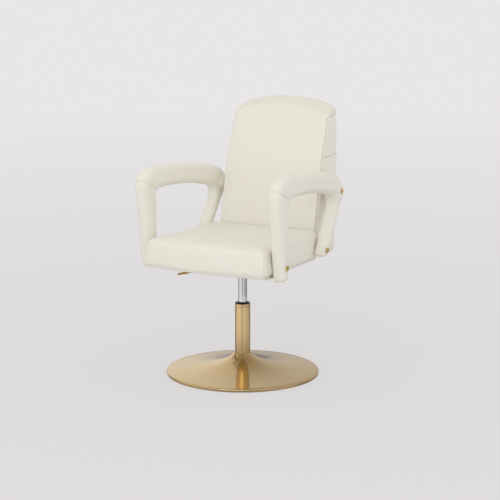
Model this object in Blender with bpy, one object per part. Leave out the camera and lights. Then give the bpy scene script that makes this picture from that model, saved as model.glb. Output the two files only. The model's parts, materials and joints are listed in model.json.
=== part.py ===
"""Manicure chair: padded seat, wedge back and arm loops on a gas-lift column with a trumpet base.

Metres, +Z up. The chair faces -Y, and the root empty stands on the column's axis at floor level.
"""

import math

import bmesh
import bpy
from mathutils import Matrix, Vector

# Fits and facets
CLEARANCE = 0.0003
RUNNING_GAP = 0.0006
ARC_STEP = math.radians(24)
LARGE_STEPS = 48
MEDIUM_STEPS = 28
SMALL_STEPS = 18
COLUMN_STEPS = 32
BOLT_STEPS = 14
TINY_STEPS = 12
EDGE_STEPS = 3

# Trumpet base
BASE_RADIUS = 0.250
BASE_RIM_HEIGHT = 0.0105
BASE_RIM_ROUND = 0.004
BASE_SHEET = 0.0015
FLARE_STEPS = 9
BASE_COLLAR_HEIGHT = 0.067
BASE_LIFT = 0.0008
RING_WIDTH = 0.016
RING_LEDGE = 0.010
RING_LEDGE_HEIGHT = 0.0027
BALLAST_THICKNESS = 0.005
BALLAST_HOLE_RADIUS = 0.030
HUB_FLANGE_RADIUS = 0.055
HUB_FLANGE_THICKNESS = 0.004
HUB_WALL = 0.005
HUB_HEIGHT = 0.038
HUB_BORE_RADIUS = 0.019

# Column
SLEEVE_RADIUS = 0.025
SLEEVE_WALL = 0.0016
SLEEVE_TOP = 0.2325
SLEEVE_GROOVE_DEPTH = 0.0006
SLEEVE_GROOVE_HEIGHT = 0.0024
BUSH_FLANGE_HEIGHT = 0.0036
BUSH_RIM_HEIGHT = 0.0018
BUSH_LENGTH = 0.070
FLOOR_PLATE_THICKNESS = 0.003
RACE_THICKNESS = 0.002
RACE_RADIUS = 0.0135
BALL_RADIUS = 0.0025
BALL_COUNT = 8
BALL_SEGMENTS = 6
BALL_RINGS = 4
CAGE_THICKNESS = 0.0022
CAGE_WIDTH = 0.0044
BUMP_STOP_HEIGHT = 0.016
BUMP_STOP_RADIUS = 0.011
BUMP_STOP_TAPER = 0.0064
BUMP_STOP_TIP_RADIUS = 0.0088
ROD_RADIUS = 0.005
ROD_STUD_RADIUS = 0.004
ROD_TOP = 0.212
ROD_STUD_LENGTH = 0.020
CLIP_THICKNESS = 0.0014
CLIP_RADIUS = 0.0075
CLIP_GROOVE_DEPTH = 0.0009
PISTON_THICKNESS = 0.012
CYLINDER_RADIUS = 0.014
CYLINDER_WALL = 0.002
CYLINDER_BOTTOM = 0.115
CYLINDER_LIP = 0.0055
GLAND_LENGTH = 0.015
TAPER_LENGTH = 0.022
TAPER_SHRINK = 0.0008
CYLINDER_HEAD = 0.012
PIN_RADIUS = 0.003
PIN_TRAVEL = 0.0042
PIN_LENGTH = 0.0175
PIN_PROUD = 0.0055

# Seat mechanism, hung from the seat board
PLATE_LENGTH = 0.170
PLATE_WIDTH = 0.150
PLATE_THICKNESS = 0.003
PLATE_FLANGE = 0.012
PLATE_BEND = 0.0045
PLATE_SCREW_INSET_X = 0.014
PLATE_SCREW_INSET_Y = 0.022
SCREW_RADIUS = 0.003
SCREW_LENGTH = 0.016
SCREW_HEAD_RADIUS = 0.0065
SCREW_HEAD_HEIGHT = 0.004
SCREW_CROWN_RADIUS = 0.0045
SCREW_RIM_HEIGHT = 0.002
SOCKET_WALL = 0.0045
SOCKET_TOP_WALL = 0.0068
SOCKET_HEIGHT = 0.0425
LEVER_THICKNESS = 0.006
LEVER_ARM = 0.034
LEVER_BOSS_RADIUS = 0.0070
LEVER_PIVOT_DROP = 0.0109
LEVER_PIN_RADIUS = 0.003
LEVER_DROOP = math.radians(14.5)
LEVER_BAR_LENGTH = 0.084
LEVER_TONGUE_HEIGHT = 0.0034
LEVER_NOSE_WIDTH = 0.003
LEVER_FILLET = 0.001
BRACKET_THICKNESS = 0.003
BRACKET_LENGTH = 0.022
HANDLE_START = 0.062
HANDLE_NECK_LENGTH = 0.075
HANDLE_LENGTH = 0.162
HANDLE_NECK_WIDTH = 0.012
HANDLE_WIDTH = 0.030
HANDLE_TONGUE = 0.036
HANDLE_TONGUE_WIDTH = 0.009
HANDLE_THICKNESS = 0.0068
HANDLE_SWEEP = 0.013
HANDLE_NECK_ROUND = 0.020
HANDLE_SHOULDER_ROUND = 0.010
HANDLE_CORNER = 0.003
HANDLE_EDGE = 0.0014

# Seat
SEAT_FRONT = 0.262
SEAT_FRONT_BOW = 0.019
SEAT_CORNER = 0.015
SEAT_REAR_CORNER = 0.020
SEAT_BOTTOM = 0.380
SEAT_SKIRT = 0.006
SEAT_EDGE_HEIGHT = 0.0815
SEAT_CROWN = 0.0080
SEAT_REAR_RISE = 0.0055
SEAT_BULGE = 0.004
SEAT_EDGE_ROUND = 0.012
SEAT_SIDE_STEPS = 6
SEAT_EDGE_STEPS = 4
SEAT_EDGE_SWEEP = math.radians(84)
SEAT_CROWN_STEPS = 4
SEAT_CROWN_REACH = 0.9
BOARD_THICKNESS = 0.012
BOARD_MARGIN = 0.012
DUST_COVER_THICKNESS = 0.0015
DUST_COVER_MARGIN = 0.020
DUST_COVER_TOE_GAP = 0.004
DUST_COVER_CORNER = 0.020
RAIL_THICKNESS = 0.022
RAIL_HEIGHT = 0.042
RAIL_FOAM = 0.012
RAIL_FRONT = 0.206
RAIL_REAR = 0.132

# Arm loops, drawn in side view; the front leg's loop side is the reference
ARM_WIDTH = 0.046
ARM_EDGE_ROUND = 0.0130
ARM_X = 0.2420
ARM_REF_Y = -0.170
ARM_TOE = math.radians(2.4)
ARM_TOP = 0.6875
ARM_CREST_Y = 0.100
ARM_CREST_DROP = 0.0175
ARM_REAR_Y = 0.216
ARM_REAR_DROP = 0.0470
ARM_HEEL_Y = 0.2545
ARM_HEEL_DROP = 0.0915
ARM_FRONT_ROUND = 0.058
ARM_REAR_ROUND = 0.040
ARM_HEEL_ROUND = 0.026
ARM_TOP_SWEEP = 0.260
FRONT_LEG_Y = -0.161
FRONT_LEG_FOOT_Z = 0.361
FRONT_LEG_FOOT_WIDTH = 0.037
FRONT_LEG_TOP_WIDTH = 0.084
REAR_LEG_FOOT_Y = 0.083
REAR_LEG_FOOT_Z = 0.391
REAR_LEG_FOOT_WIDTH = 0.036
FOOT_ROUND = 0.0140
TOE_LENGTH = 0.040
TOE_ROUND = 0.005
TOE_TIP = 0.005
TOE_TIP_ROUND = 0.0015
TOE_EDGE = 0.0015
TOE_RISE = 0.0015
LOOP_FRONT_DEPTH = 0.0655
LOOP_MID_Y = 0.020
LOOP_MID_DEPTH = 0.0750
LOOP_REAR_Y = 0.1985
LOOP_REAR_DEPTH = 0.107
LOOP_FRONT_ROUND = 0.014
LOOP_REAR_ROUND = 0.024
CORE_THICKNESS = 0.018
CORE_FOAM = 0.006

# Arm bolts and their inserts
BOLT_RADIUS = 0.004
BOLT_HEAD_RADIUS = 0.009
BOLT_HEAD_HEIGHT = 0.0030
BOLT_HEAD_SUNK = 0.0012
BOLT_RIM_HEIGHT = 0.0020
BOLT_CROWN_RADIUS = 0.0072
BOLT_SOCKET_RADIUS = 0.0029
BOLT_SOCKET_DEPTH = 0.0018
INSERT_RADIUS = 0.0062
INSERT_LENGTH = 0.016
FRONT_BOLT_RISE = 0.045
REAR_BOLT_RISE = 0.0225
REAR_BOLT_SHARE = 0.32
BACK_BOLT_Y = 0.215
BACK_BOLT_Z = 0.593
SPACER_RADIUS = 0.012

# Backrest
BACK_FRONT_Y = 0.156
BACK_SEAM_Z = 0.465
BACK_LEAN = math.radians(14.8)
BACK_LUMBAR = 0.013
BACK_FACE_CROWN = 0.006
BACK_BOTTOM = 0.368
BACK_TOP = 0.890
BACK_TOP_BAND = 0.044
BACK_HALF_WIDTH_BOTTOM = 0.184
BACK_HALF_WIDTH_TOP = 0.180
BACK_SIDE_BULGE = 0.0025
BACK_CORNER = 0.024
BACK_CORNER_POWER = 12
BACK_TOP_SWEEP = 0.520
BACK_REAR_Y = 0.3035
BACK_REAR_LEAN = math.radians(2.0)
BACK_EDGE_ROUND = 0.009
BACK_REAR_EDGE_ROUND = 0.0126
BACK_EDGE_STEPS = 4
BACK_TOP_ROLL = 0.034
BACK_BOTTOM_ROLL = 0.016
BACK_TOP_REAR_ROLL = 0.008
BACK_BODY_STEPS = 7
BACK_TOP_STEPS = 5
BACK_PANEL_THICKNESS = 0.005
BACK_PANEL_MARGIN = 0.024
BACK_FRAME_THICKNESS = 0.012
BACK_FRAME_MARGIN = 0.034
BACK_BOARD_TOP_CLEAR = 0.033
CHEEK_THICKNESS = 0.024
CHEEK_HEIGHT = 0.110
CHEEK_FOAM = 0.010

# Places worked out from the sizes above
SEAT_LOW = SEAT_BOTTOM - SEAT_SKIRT
BOARD_TOP = SEAT_BOTTOM + BOARD_THICKNESS
RAIL_BOTTOM = BOARD_TOP + CLEARANCE
DUST_COVER_BOTTOM = SEAT_BOTTOM - CLEARANCE - DUST_COVER_THICKNESS
PLATE_TOP = DUST_COVER_BOTTOM - CLEARANCE
PLATE_BOTTOM = PLATE_TOP - PLATE_THICKNESS
SOCKET_TOP = PLATE_BOTTOM - CLEARANCE
SOCKET_BOTTOM = SOCKET_TOP - SOCKET_HEIGHT
PIVOT_Z = PLATE_BOTTOM - LEVER_PIVOT_DROP
BALLAST_BOTTOM = RING_LEDGE_HEIGHT + CLEARANCE
BALLAST_TOP = BALLAST_BOTTOM + BALLAST_THICKNESS
HUB_BOTTOM = BALLAST_TOP + CLEARANCE
HUB_FLOOR = HUB_BOTTOM + HUB_FLANGE_THICKNESS
SLEEVE_BOTTOM = HUB_FLOOR + CLEARANCE
SLEEVE_BORE = SLEEVE_RADIUS - SLEEVE_WALL
FLOOR_PLATE_TOP = SLEEVE_BOTTOM + FLOOR_PLATE_THICKNESS
LOWER_RACE_TOP = FLOOR_PLATE_TOP + CLEARANCE + RACE_THICKNESS
BALL_Z = LOWER_RACE_TOP + CLEARANCE + BALL_RADIUS
UPPER_RACE_BOTTOM = BALL_Z + BALL_RADIUS + CLEARANCE
ROD_SHOULDER = UPPER_RACE_BOTTOM + RACE_THICKNESS + CLEARANCE
STUD_HOLE = ROD_STUD_RADIUS + RUNNING_GAP
ROD_HOLE = ROD_RADIUS + CLEARANCE
CLIP_TOP = SLEEVE_BOTTOM - CLEARANCE
CYLINDER_BORE = CYLINDER_RADIUS - CYLINDER_WALL
TAPER_BOTTOM = SOCKET_BOTTOM + CLEARANCE
CYLINDER_TOP = TAPER_BOTTOM + TAPER_LENGTH
PIN_TOP = CYLINDER_TOP + PIN_PROUD
COLLAR_RADIUS = SLEEVE_RADIUS + CLEARANCE + BASE_SHEET
ARM_INNER = -ARM_WIDTH / 2
CORE_FRONT_GAP = CORE_THICKNESS / 2 + CLEARANCE
RAIL_OUTER = ARM_INNER - CLEARANCE - RAIL_FOAM
BACK_SHOULDER = BACK_TOP - BACK_TOP_BAND
BACK_PANEL_FRONT = -BACK_PANEL_THICKNESS
BACK_FRAME_REAR = BACK_PANEL_FRONT - CLEARANCE
BACK_FRAME_FRONT = BACK_FRAME_REAR - BACK_FRAME_THICKNESS


def back_rear(z):
    """Y of the back's rear face at height z."""
    return BACK_REAR_Y + (z - BACK_SEAM_Z) * math.tan(BACK_REAR_LEAN)


# The box of the whole chair is centred on the origin, so the column stands off it in Y
COLUMN_Y = (SEAT_FRONT - back_rear(BACK_TOP - BACK_TOP_ROLL / 2)) / 2

# Node colours: sRGB hex, roughness, metallic
FINISHES = {
    "vinyl": ("E2DED1", 0.45, 0.0),
    "gold": ("C9A765", 0.28, 1.0),
    "dark_gold": ("A88340", 0.35, 1.0),
    "chrome": ("C9CBCE", 0.12, 1.0),
    "steel": ("8F9194", 0.40, 1.0),
    "black_steel": ("1C1C1E", 0.45, 0.6),
    "black_plastic": ("141414", 0.40, 0.0),
    "rubber": ("202020", 0.80, 0.0),
    "plywood": ("C6A57A", 0.70, 0.0),
    "felt": ("2B2B2C", 0.90, 0.0),
}


def srgb_to_linear(hex_colour):
    """Linear RGBA of an sRGB hex colour."""
    channels = [int(hex_colour[i : i + 2], 16) / 255 for i in (0, 2, 4)]
    linear = [c / 12.92 if c <= 0.04045 else ((c + 0.055) / 1.055) ** 2.4 for c in channels]
    return (*linear, 1.0)


def make_material(node_name, finish):
    """A Principled material of its own for one node."""
    colour, roughness, metallic = FINISHES[finish]
    material = bpy.data.materials.new(f"{node_name}_{finish}")
    material.use_nodes = True
    shader = material.node_tree.nodes["Principled BSDF"]
    shader.inputs["Base Color"].default_value = srgb_to_linear(colour)
    shader.inputs["Roughness"].default_value = roughness
    shader.inputs["Metallic"].default_value = metallic
    return material


def add_empty(name, parent=None, location=(0, 0, 0), rotation=(0, 0, 0)):
    """An empty that carries pieces, in its parent's space."""
    empty = bpy.data.objects.new(name, None)
    bpy.context.scene.collection.objects.link(empty)
    empty.parent = parent
    empty.location = location
    empty.rotation_euler = rotation
    return empty


def add_piece(name, bm, finish, parent, location=(0, 0, 0), rotation=(0, 0, 0), smooth=True):
    """Turn a bmesh into a named object under its parent."""
    bmesh.ops.recalc_face_normals(bm, faces=bm.faces[:])
    mesh = bpy.data.meshes.new(name)
    bm.to_mesh(mesh)
    bm.free()
    mesh.polygons.foreach_set("use_smooth", [smooth] * len(mesh.polygons))
    piece = bpy.data.objects.new(name, mesh)
    bpy.context.scene.collection.objects.link(piece)
    piece.parent = parent
    piece.location = location
    piece.rotation_euler = rotation
    if finish:
        mesh.materials.append(make_material(name, finish))
    else:
        piece.hide_render = True
        piece.display_type = "WIRE"
    return piece


def add_cutter(name, bm, parent, location=(0, 0, 0), rotation=(0, 0, 0)):
    """A hidden wire object that only cuts others."""
    return add_piece(f"cut_{name}", bm, None, parent, location, rotation)


def combine(piece, operation, *tools):
    """Join tools to a piece, or take them from it, with exact Boolean modifiers."""
    for tool in tools:
        modifier = piece.modifiers.new(tool.name, "BOOLEAN")
        modifier.operation = operation
        modifier.solver = "EXACT"
        modifier.object = tool


def cut(piece, *cutters):
    """Subtract cutters from a piece."""
    combine(piece, "DIFFERENCE", *cutters)


def rounded(corners, arc_steps=None):
    """Closed 2-D outline through (a, b, radius) corners, each rounded by an arc."""
    points = []
    for i, (a, b, radius) in enumerate(corners):
        corner = Vector((a, b))
        to_last = (Vector(corners[i - 1][:2]) - corner).normalized()
        to_next = (Vector(corners[(i + 1) % len(corners)][:2]) - corner).normalized()
        if radius == 0:
            points.append(corner)
            continue
        half = to_last.angle(to_next) / 2
        turn = math.pi - 2 * half
        centre = corner + (to_last + to_next).normalized() * radius / math.sin(half)
        start = corner + to_last * radius / math.tan(half) - centre
        side = 1 if to_last.cross(to_next) < 0 else -1
        steps = arc_steps or max(3, math.ceil(turn / ARC_STEP))
        for k in range(steps + 1):
            points.append(centre + Matrix.Rotation(side * turn * k / steps, 2) @ start)
    return points


def inset(points, distance):
    """Move a closed 2-D outline into its own area by a distance."""
    area = sum(p.cross(q) for p, q in zip(points, points[1:] + points[:1]))
    sign = 1 if area > 0 else -1
    moved = []
    for i, point in enumerate(points):
        before = (point - points[i - 1]).normalized()
        after = (points[(i + 1) % len(points)] - point).normalized()
        normal = (before + after).normalized().orthogonal() * sign
        moved.append(point + normal * distance / max(0.5, normal.dot(before.orthogonal() * sign)))
    return moved


def scaled(points, centre, factor):
    """Scale a closed 2-D outline about a centre."""
    return [centre + (p - centre) * factor for p in points]


def place(points, plane, level):
    """Put a 2-D outline on a plane: XY at z, YZ at x or XZ at y."""
    if plane == "XY":
        return [Vector((a, b, level)) for a, b in points]
    if plane == "YZ":
        return [Vector((level, a, b)) for a, b in points]
    return [Vector((a, level, b)) for a, b in points]


def loft(rings):
    """Closed body through rings of equal point counts, with flat ends."""
    bm = bmesh.new()
    loops = [[bm.verts.new(p) for p in ring] for ring in rings]
    for lower, upper in zip(loops, loops[1:]):
        for k in range(len(lower)):
            bm.faces.new((lower[k - 1], lower[k], upper[k], upper[k - 1]))
    bm.faces.new(loops[0])
    bm.faces.new(loops[-1])
    return bm


def prism(points, plane, low, high):
    """Closed 2-D outline carried from one level to another."""
    return loft([place(points, plane, low), place(points, plane, high)])


def box(size, centre):
    """Axis-aligned box."""
    bm = bmesh.new()
    bmesh.ops.create_cube(bm, size=1.0)
    bmesh.ops.scale(bm, vec=size, verts=bm.verts[:])
    bmesh.ops.translate(bm, vec=centre, verts=bm.verts[:])
    return bm


def revolve(profile, steps):
    """Spin an (r, z) profile about Z: a closed ring off the axis, or a chain that ends on the axis."""
    bm = bmesh.new()
    verts = [bm.verts.new((r, 0, z)) for r, z in profile]
    pairs = list(zip(verts, verts[1:]))
    if min(r for r, _ in profile) > 0:
        pairs.append((verts[-1], verts[0]))
    edges = [bm.edges.new(pair) for pair in pairs]
    turn = {"cent": (0, 0, 0), "axis": (0, 0, 1), "angle": math.tau, "steps": steps}
    bmesh.ops.spin(bm, geom=verts + edges, use_merge=True, **turn)
    bmesh.ops.remove_doubles(bm, verts=bm.verts[:], dist=1e-6)
    return bm


def rod_profile(radius, low, high):
    """Section of a plain round bar for revolve."""
    return [(0, low), (radius, low), (radius, high), (0, high)]


def ring_profile(inner, outer, low, high):
    """Rectangular section for revolve."""
    return [(inner, low), (outer, low), (outer, high), (inner, high)]


def join(target, *others):
    """Add the geometry of other bmeshes to the first, as separate shells."""
    for other in others:
        mesh = bpy.data.meshes.new("joined")
        other.to_mesh(mesh)
        other.free()
        target.from_mesh(mesh)
        bpy.data.meshes.remove(mesh)
    return target


def flare_height(radius):
    """Height of the trumpet's outside at a radius: a hyperbola from rim to collar."""
    slope = (BASE_COLLAR_HEIGHT - BASE_RIM_HEIGHT) / (1 / COLLAR_RADIUS - 1 / BASE_RADIUS)
    return BASE_RIM_HEIGHT + slope * (1 / radius - 1 / BASE_RADIUS)


def flare_radii():
    """Radii from the rim's round in to the collar, closer where the flare steepens."""
    start = BASE_RADIUS - BASE_RIM_ROUND
    return [start * (COLLAR_RADIUS / start) ** (k / FLARE_STEPS) for k in range(FLARE_STEPS + 1)]


def build_base(root):
    """Spun shell, its floor ring, ballast and the hub that the column stands in."""
    radii = flare_radii()
    rim_top = flare_height(radii[0])
    outside = []
    for k in range(EDGE_STEPS, 0, -1):
        angle = math.pi / 2 * k / EDGE_STEPS
        radius = BASE_RADIUS - BASE_RIM_ROUND * (1 - math.sin(angle))
        outside.append((radius, rim_top - BASE_RIM_ROUND * (1 - math.cos(angle))))
    skirt = [(BASE_RADIUS - BASE_SHEET, BASE_LIFT), (BASE_RADIUS, BASE_LIFT)]
    top = [(r, flare_height(r)) for r in radii]
    under = [(r - BASE_SHEET, flare_height(r) - BASE_SHEET) for r in reversed(radii[1::2])]
    under[0] = (radii[-1] - BASE_SHEET, top[-1][1])
    shoulder = [
        (BASE_RADIUS - BASE_RIM_ROUND, rim_top - BASE_SHEET),
        (BASE_RADIUS - BASE_SHEET, rim_top - BASE_RIM_ROUND),
    ]
    add_piece("base_shell", revolve(skirt + outside + top + under + shoulder, LARGE_STEPS), "gold", root)

    edge = BASE_RADIUS - BASE_SHEET - CLEARANCE
    step = edge - RING_WIDTH
    seat = rim_top - BASE_SHEET - CLEARANCE
    ring = [
        (step - RING_LEDGE, 0),
        (edge, 0),
        (edge, rim_top - BASE_RIM_ROUND - CLEARANCE),
        (BASE_RADIUS - BASE_RIM_ROUND - CLEARANCE, seat),
        (step, seat),
        (step, RING_LEDGE_HEIGHT),
        (step - RING_LEDGE, RING_LEDGE_HEIGHT),
    ]
    add_piece("floor_ring", revolve(ring, LARGE_STEPS), "rubber", root)

    ballast = ring_profile(BALLAST_HOLE_RADIUS, step - CLEARANCE, BALLAST_BOTTOM, BALLAST_TOP)
    add_piece("ballast_plate", revolve(ballast, LARGE_STEPS), "steel", root)

    bore = SLEEVE_RADIUS + CLEARANCE
    hub = [
        (HUB_BORE_RADIUS, HUB_BOTTOM),
        (HUB_FLANGE_RADIUS, HUB_BOTTOM),
        (HUB_FLANGE_RADIUS, HUB_FLOOR),
        (bore + HUB_WALL, HUB_FLOOR + HUB_WALL),
        (bore + HUB_WALL, HUB_BOTTOM + HUB_HEIGHT),
        (bore, HUB_BOTTOM + HUB_HEIGHT),
        (bore, HUB_FLOOR),
        (HUB_BORE_RADIUS, HUB_FLOOR),
    ]
    add_piece("column_hub", revolve(hub, MEDIUM_STEPS), "black_steel", root)


def build_column(root):
    """Gold sleeve with its guide bush, floor plate and the lower bearing race."""
    neck = SLEEVE_RADIUS - SLEEVE_GROOVE_DEPTH
    groove_top = SLEEVE_TOP - SLEEVE_GROOVE_HEIGHT
    sleeve = [
        (SLEEVE_BORE, SLEEVE_BOTTOM),
        (SLEEVE_RADIUS, SLEEVE_BOTTOM),
        (SLEEVE_RADIUS, groove_top - SLEEVE_GROOVE_DEPTH),
        (neck, groove_top),
        (neck, SLEEVE_TOP),
        (SLEEVE_BORE, SLEEVE_TOP),
    ]
    add_piece("column_sleeve", revolve(sleeve, COLUMN_STEPS), "gold", root)

    bore = CYLINDER_RADIUS + CLEARANCE
    flange = SLEEVE_TOP + CLEARANCE
    body = SLEEVE_BORE - CLEARANCE
    bush = [
        (bore, flange - BUSH_LENGTH),
        (body, flange - BUSH_LENGTH),
        (body, flange),
        (neck, flange),
        (neck, flange + BUSH_RIM_HEIGHT),
        (neck - BUSH_FLANGE_HEIGHT, flange + BUSH_FLANGE_HEIGHT),
        (bore, flange + BUSH_FLANGE_HEIGHT),
    ]
    add_piece("guide_bush", revolve(bush, COLUMN_STEPS), "black_plastic", root)

    plate = ring_profile(STUD_HOLE, SLEEVE_BORE - CLEARANCE, SLEEVE_BOTTOM, FLOOR_PLATE_TOP)
    add_piece("column_floor", revolve(plate, SMALL_STEPS), "steel", root)
    race = ring_profile(STUD_HOLE, RACE_RADIUS, FLOOR_PLATE_TOP + CLEARANCE, LOWER_RACE_TOP)
    add_piece("lower_race", revolve(race, SMALL_STEPS), "steel", root)


def build_bearing_cage(root):
    """Flat cage with its balls, which rolls between the two races."""
    pitch = (STUD_HOLE + RACE_RADIUS) / 2
    low, high = BALL_Z - CAGE_THICKNESS / 2, BALL_Z + CAGE_THICKNESS / 2
    cage = revolve(ring_profile(pitch - CAGE_WIDTH / 2, pitch + CAGE_WIDTH / 2, low, high), 2 * BALL_COUNT)
    piece = add_piece("ball_cage", cage, "steel", root)
    for k in range(BALL_COUNT):
        angle = math.tau * k / BALL_COUNT
        ball = bmesh.new()
        facets = {"u_segments": BALL_SEGMENTS, "v_segments": BALL_RINGS}
        bmesh.ops.create_uvsphere(ball, radius=BALL_RADIUS, **facets)
        spot = (pitch * math.cos(angle), pitch * math.sin(angle), BALL_Z)
        combine(piece, "UNION", add_cutter(f"ball_{k}", ball, root, spot))


def build_piston(root):
    """Piston rod with its head, upper race, bump stop and the clip that holds it down."""
    stud_bottom = ROD_SHOULDER - ROD_STUD_LENGTH
    groove = ROD_STUD_RADIUS - CLIP_GROOVE_DEPTH
    clip_bottom = CLIP_TOP - CLIP_THICKNESS
    rod = [
        (0, stud_bottom),
        (ROD_STUD_RADIUS, stud_bottom),
        (ROD_STUD_RADIUS, clip_bottom - CLEARANCE),
        (groove, clip_bottom - CLEARANCE),
        (groove, CLIP_TOP + CLEARANCE),
        (ROD_STUD_RADIUS, CLIP_TOP + CLEARANCE),
        (ROD_STUD_RADIUS, ROD_SHOULDER),
        (ROD_RADIUS, ROD_SHOULDER),
        (ROD_RADIUS, ROD_TOP),
        (0, ROD_TOP),
    ]
    add_piece("piston_rod", revolve(rod, SMALL_STEPS), "chrome", root)

    head_bottom = ROD_TOP - PISTON_THICKNESS
    head = ring_profile(ROD_HOLE, CYLINDER_BORE - CLEARANCE, head_bottom, ROD_TOP)
    add_piece("piston_head", revolve(head, SMALL_STEPS), "steel", root)
    race = ring_profile(STUD_HOLE, RACE_RADIUS, UPPER_RACE_BOTTOM, ROD_SHOULDER - CLEARANCE)
    add_piece("upper_race", revolve(race, SMALL_STEPS), "steel", root)
    stop_top = ROD_SHOULDER + BUMP_STOP_HEIGHT
    stop = [
        (ROD_HOLE, ROD_SHOULDER),
        (BUMP_STOP_RADIUS, ROD_SHOULDER),
        (BUMP_STOP_RADIUS, stop_top - BUMP_STOP_TAPER),
        (BUMP_STOP_TIP_RADIUS, stop_top),
        (ROD_HOLE, stop_top),
    ]
    add_piece("bump_stop", revolve(stop, SMALL_STEPS), "rubber", root)

    clip = revolve(ring_profile(groove + CLEARANCE, CLIP_RADIUS, clip_bottom, CLIP_TOP), SMALL_STEPS)
    mouth = box((CLIP_RADIUS * 2, groove * 2, CLIP_THICKNESS * 3), (CLIP_RADIUS, 0, CLIP_TOP))
    cut(add_piece("rod_clip", clip, "steel", root), add_cutter("clip_mouth", mouth, root))


def build_cylinder(root):
    """Chrome gas cylinder, its rod gland and the release pin in its tapered head."""
    shoulder = TAPER_BOTTOM
    pin_hole = PIN_RADIUS + CLEARANCE
    pin_bottom = PIN_TOP - PIN_LENGTH
    hole_bottom = pin_bottom - PIN_TRAVEL - RUNNING_GAP
    ceiling = hole_bottom - CYLINDER_HEAD
    lip_top = CYLINDER_BOTTOM + CYLINDER_WALL
    inside = [(0, ceiling), (CYLINDER_BORE, ceiling), (CYLINDER_BORE, lip_top)]
    inside.append((CYLINDER_RADIUS - CYLINDER_LIP, lip_top))
    outside = [
        (CYLINDER_RADIUS - CYLINDER_LIP, CYLINDER_BOTTOM),
        (CYLINDER_RADIUS, CYLINDER_BOTTOM),
        (CYLINDER_RADIUS, shoulder),
        (CYLINDER_RADIUS - TAPER_SHRINK, CYLINDER_TOP),
        (pin_hole, CYLINDER_TOP),
        (pin_hole, hole_bottom),
        (0, hole_bottom),
    ]
    add_piece("gas_cylinder", revolve(inside + outside, MEDIUM_STEPS), "chrome", root)

    gland_bottom = lip_top + CLEARANCE
    gland = ring_profile(ROD_HOLE, CYLINDER_BORE - CLEARANCE, gland_bottom, gland_bottom + GLAND_LENGTH)
    add_piece("rod_gland", revolve(gland, SMALL_STEPS), "black_plastic", root)

    pin = rod_profile(PIN_RADIUS, pin_bottom, PIN_TOP)
    add_piece("release_pin", revolve(pin, SMALL_STEPS), "black_plastic", root)


def plate_screw_spots():
    """The four screw places of the seat plate."""
    x = PLATE_LENGTH / 2 - PLATE_SCREW_INSET_X
    y = PLATE_WIDTH / 2 - PLATE_SCREW_INSET_Y
    return [(sx * x, sy * y) for sx in (-1, 1) for sy in (-1, 1)]


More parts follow.
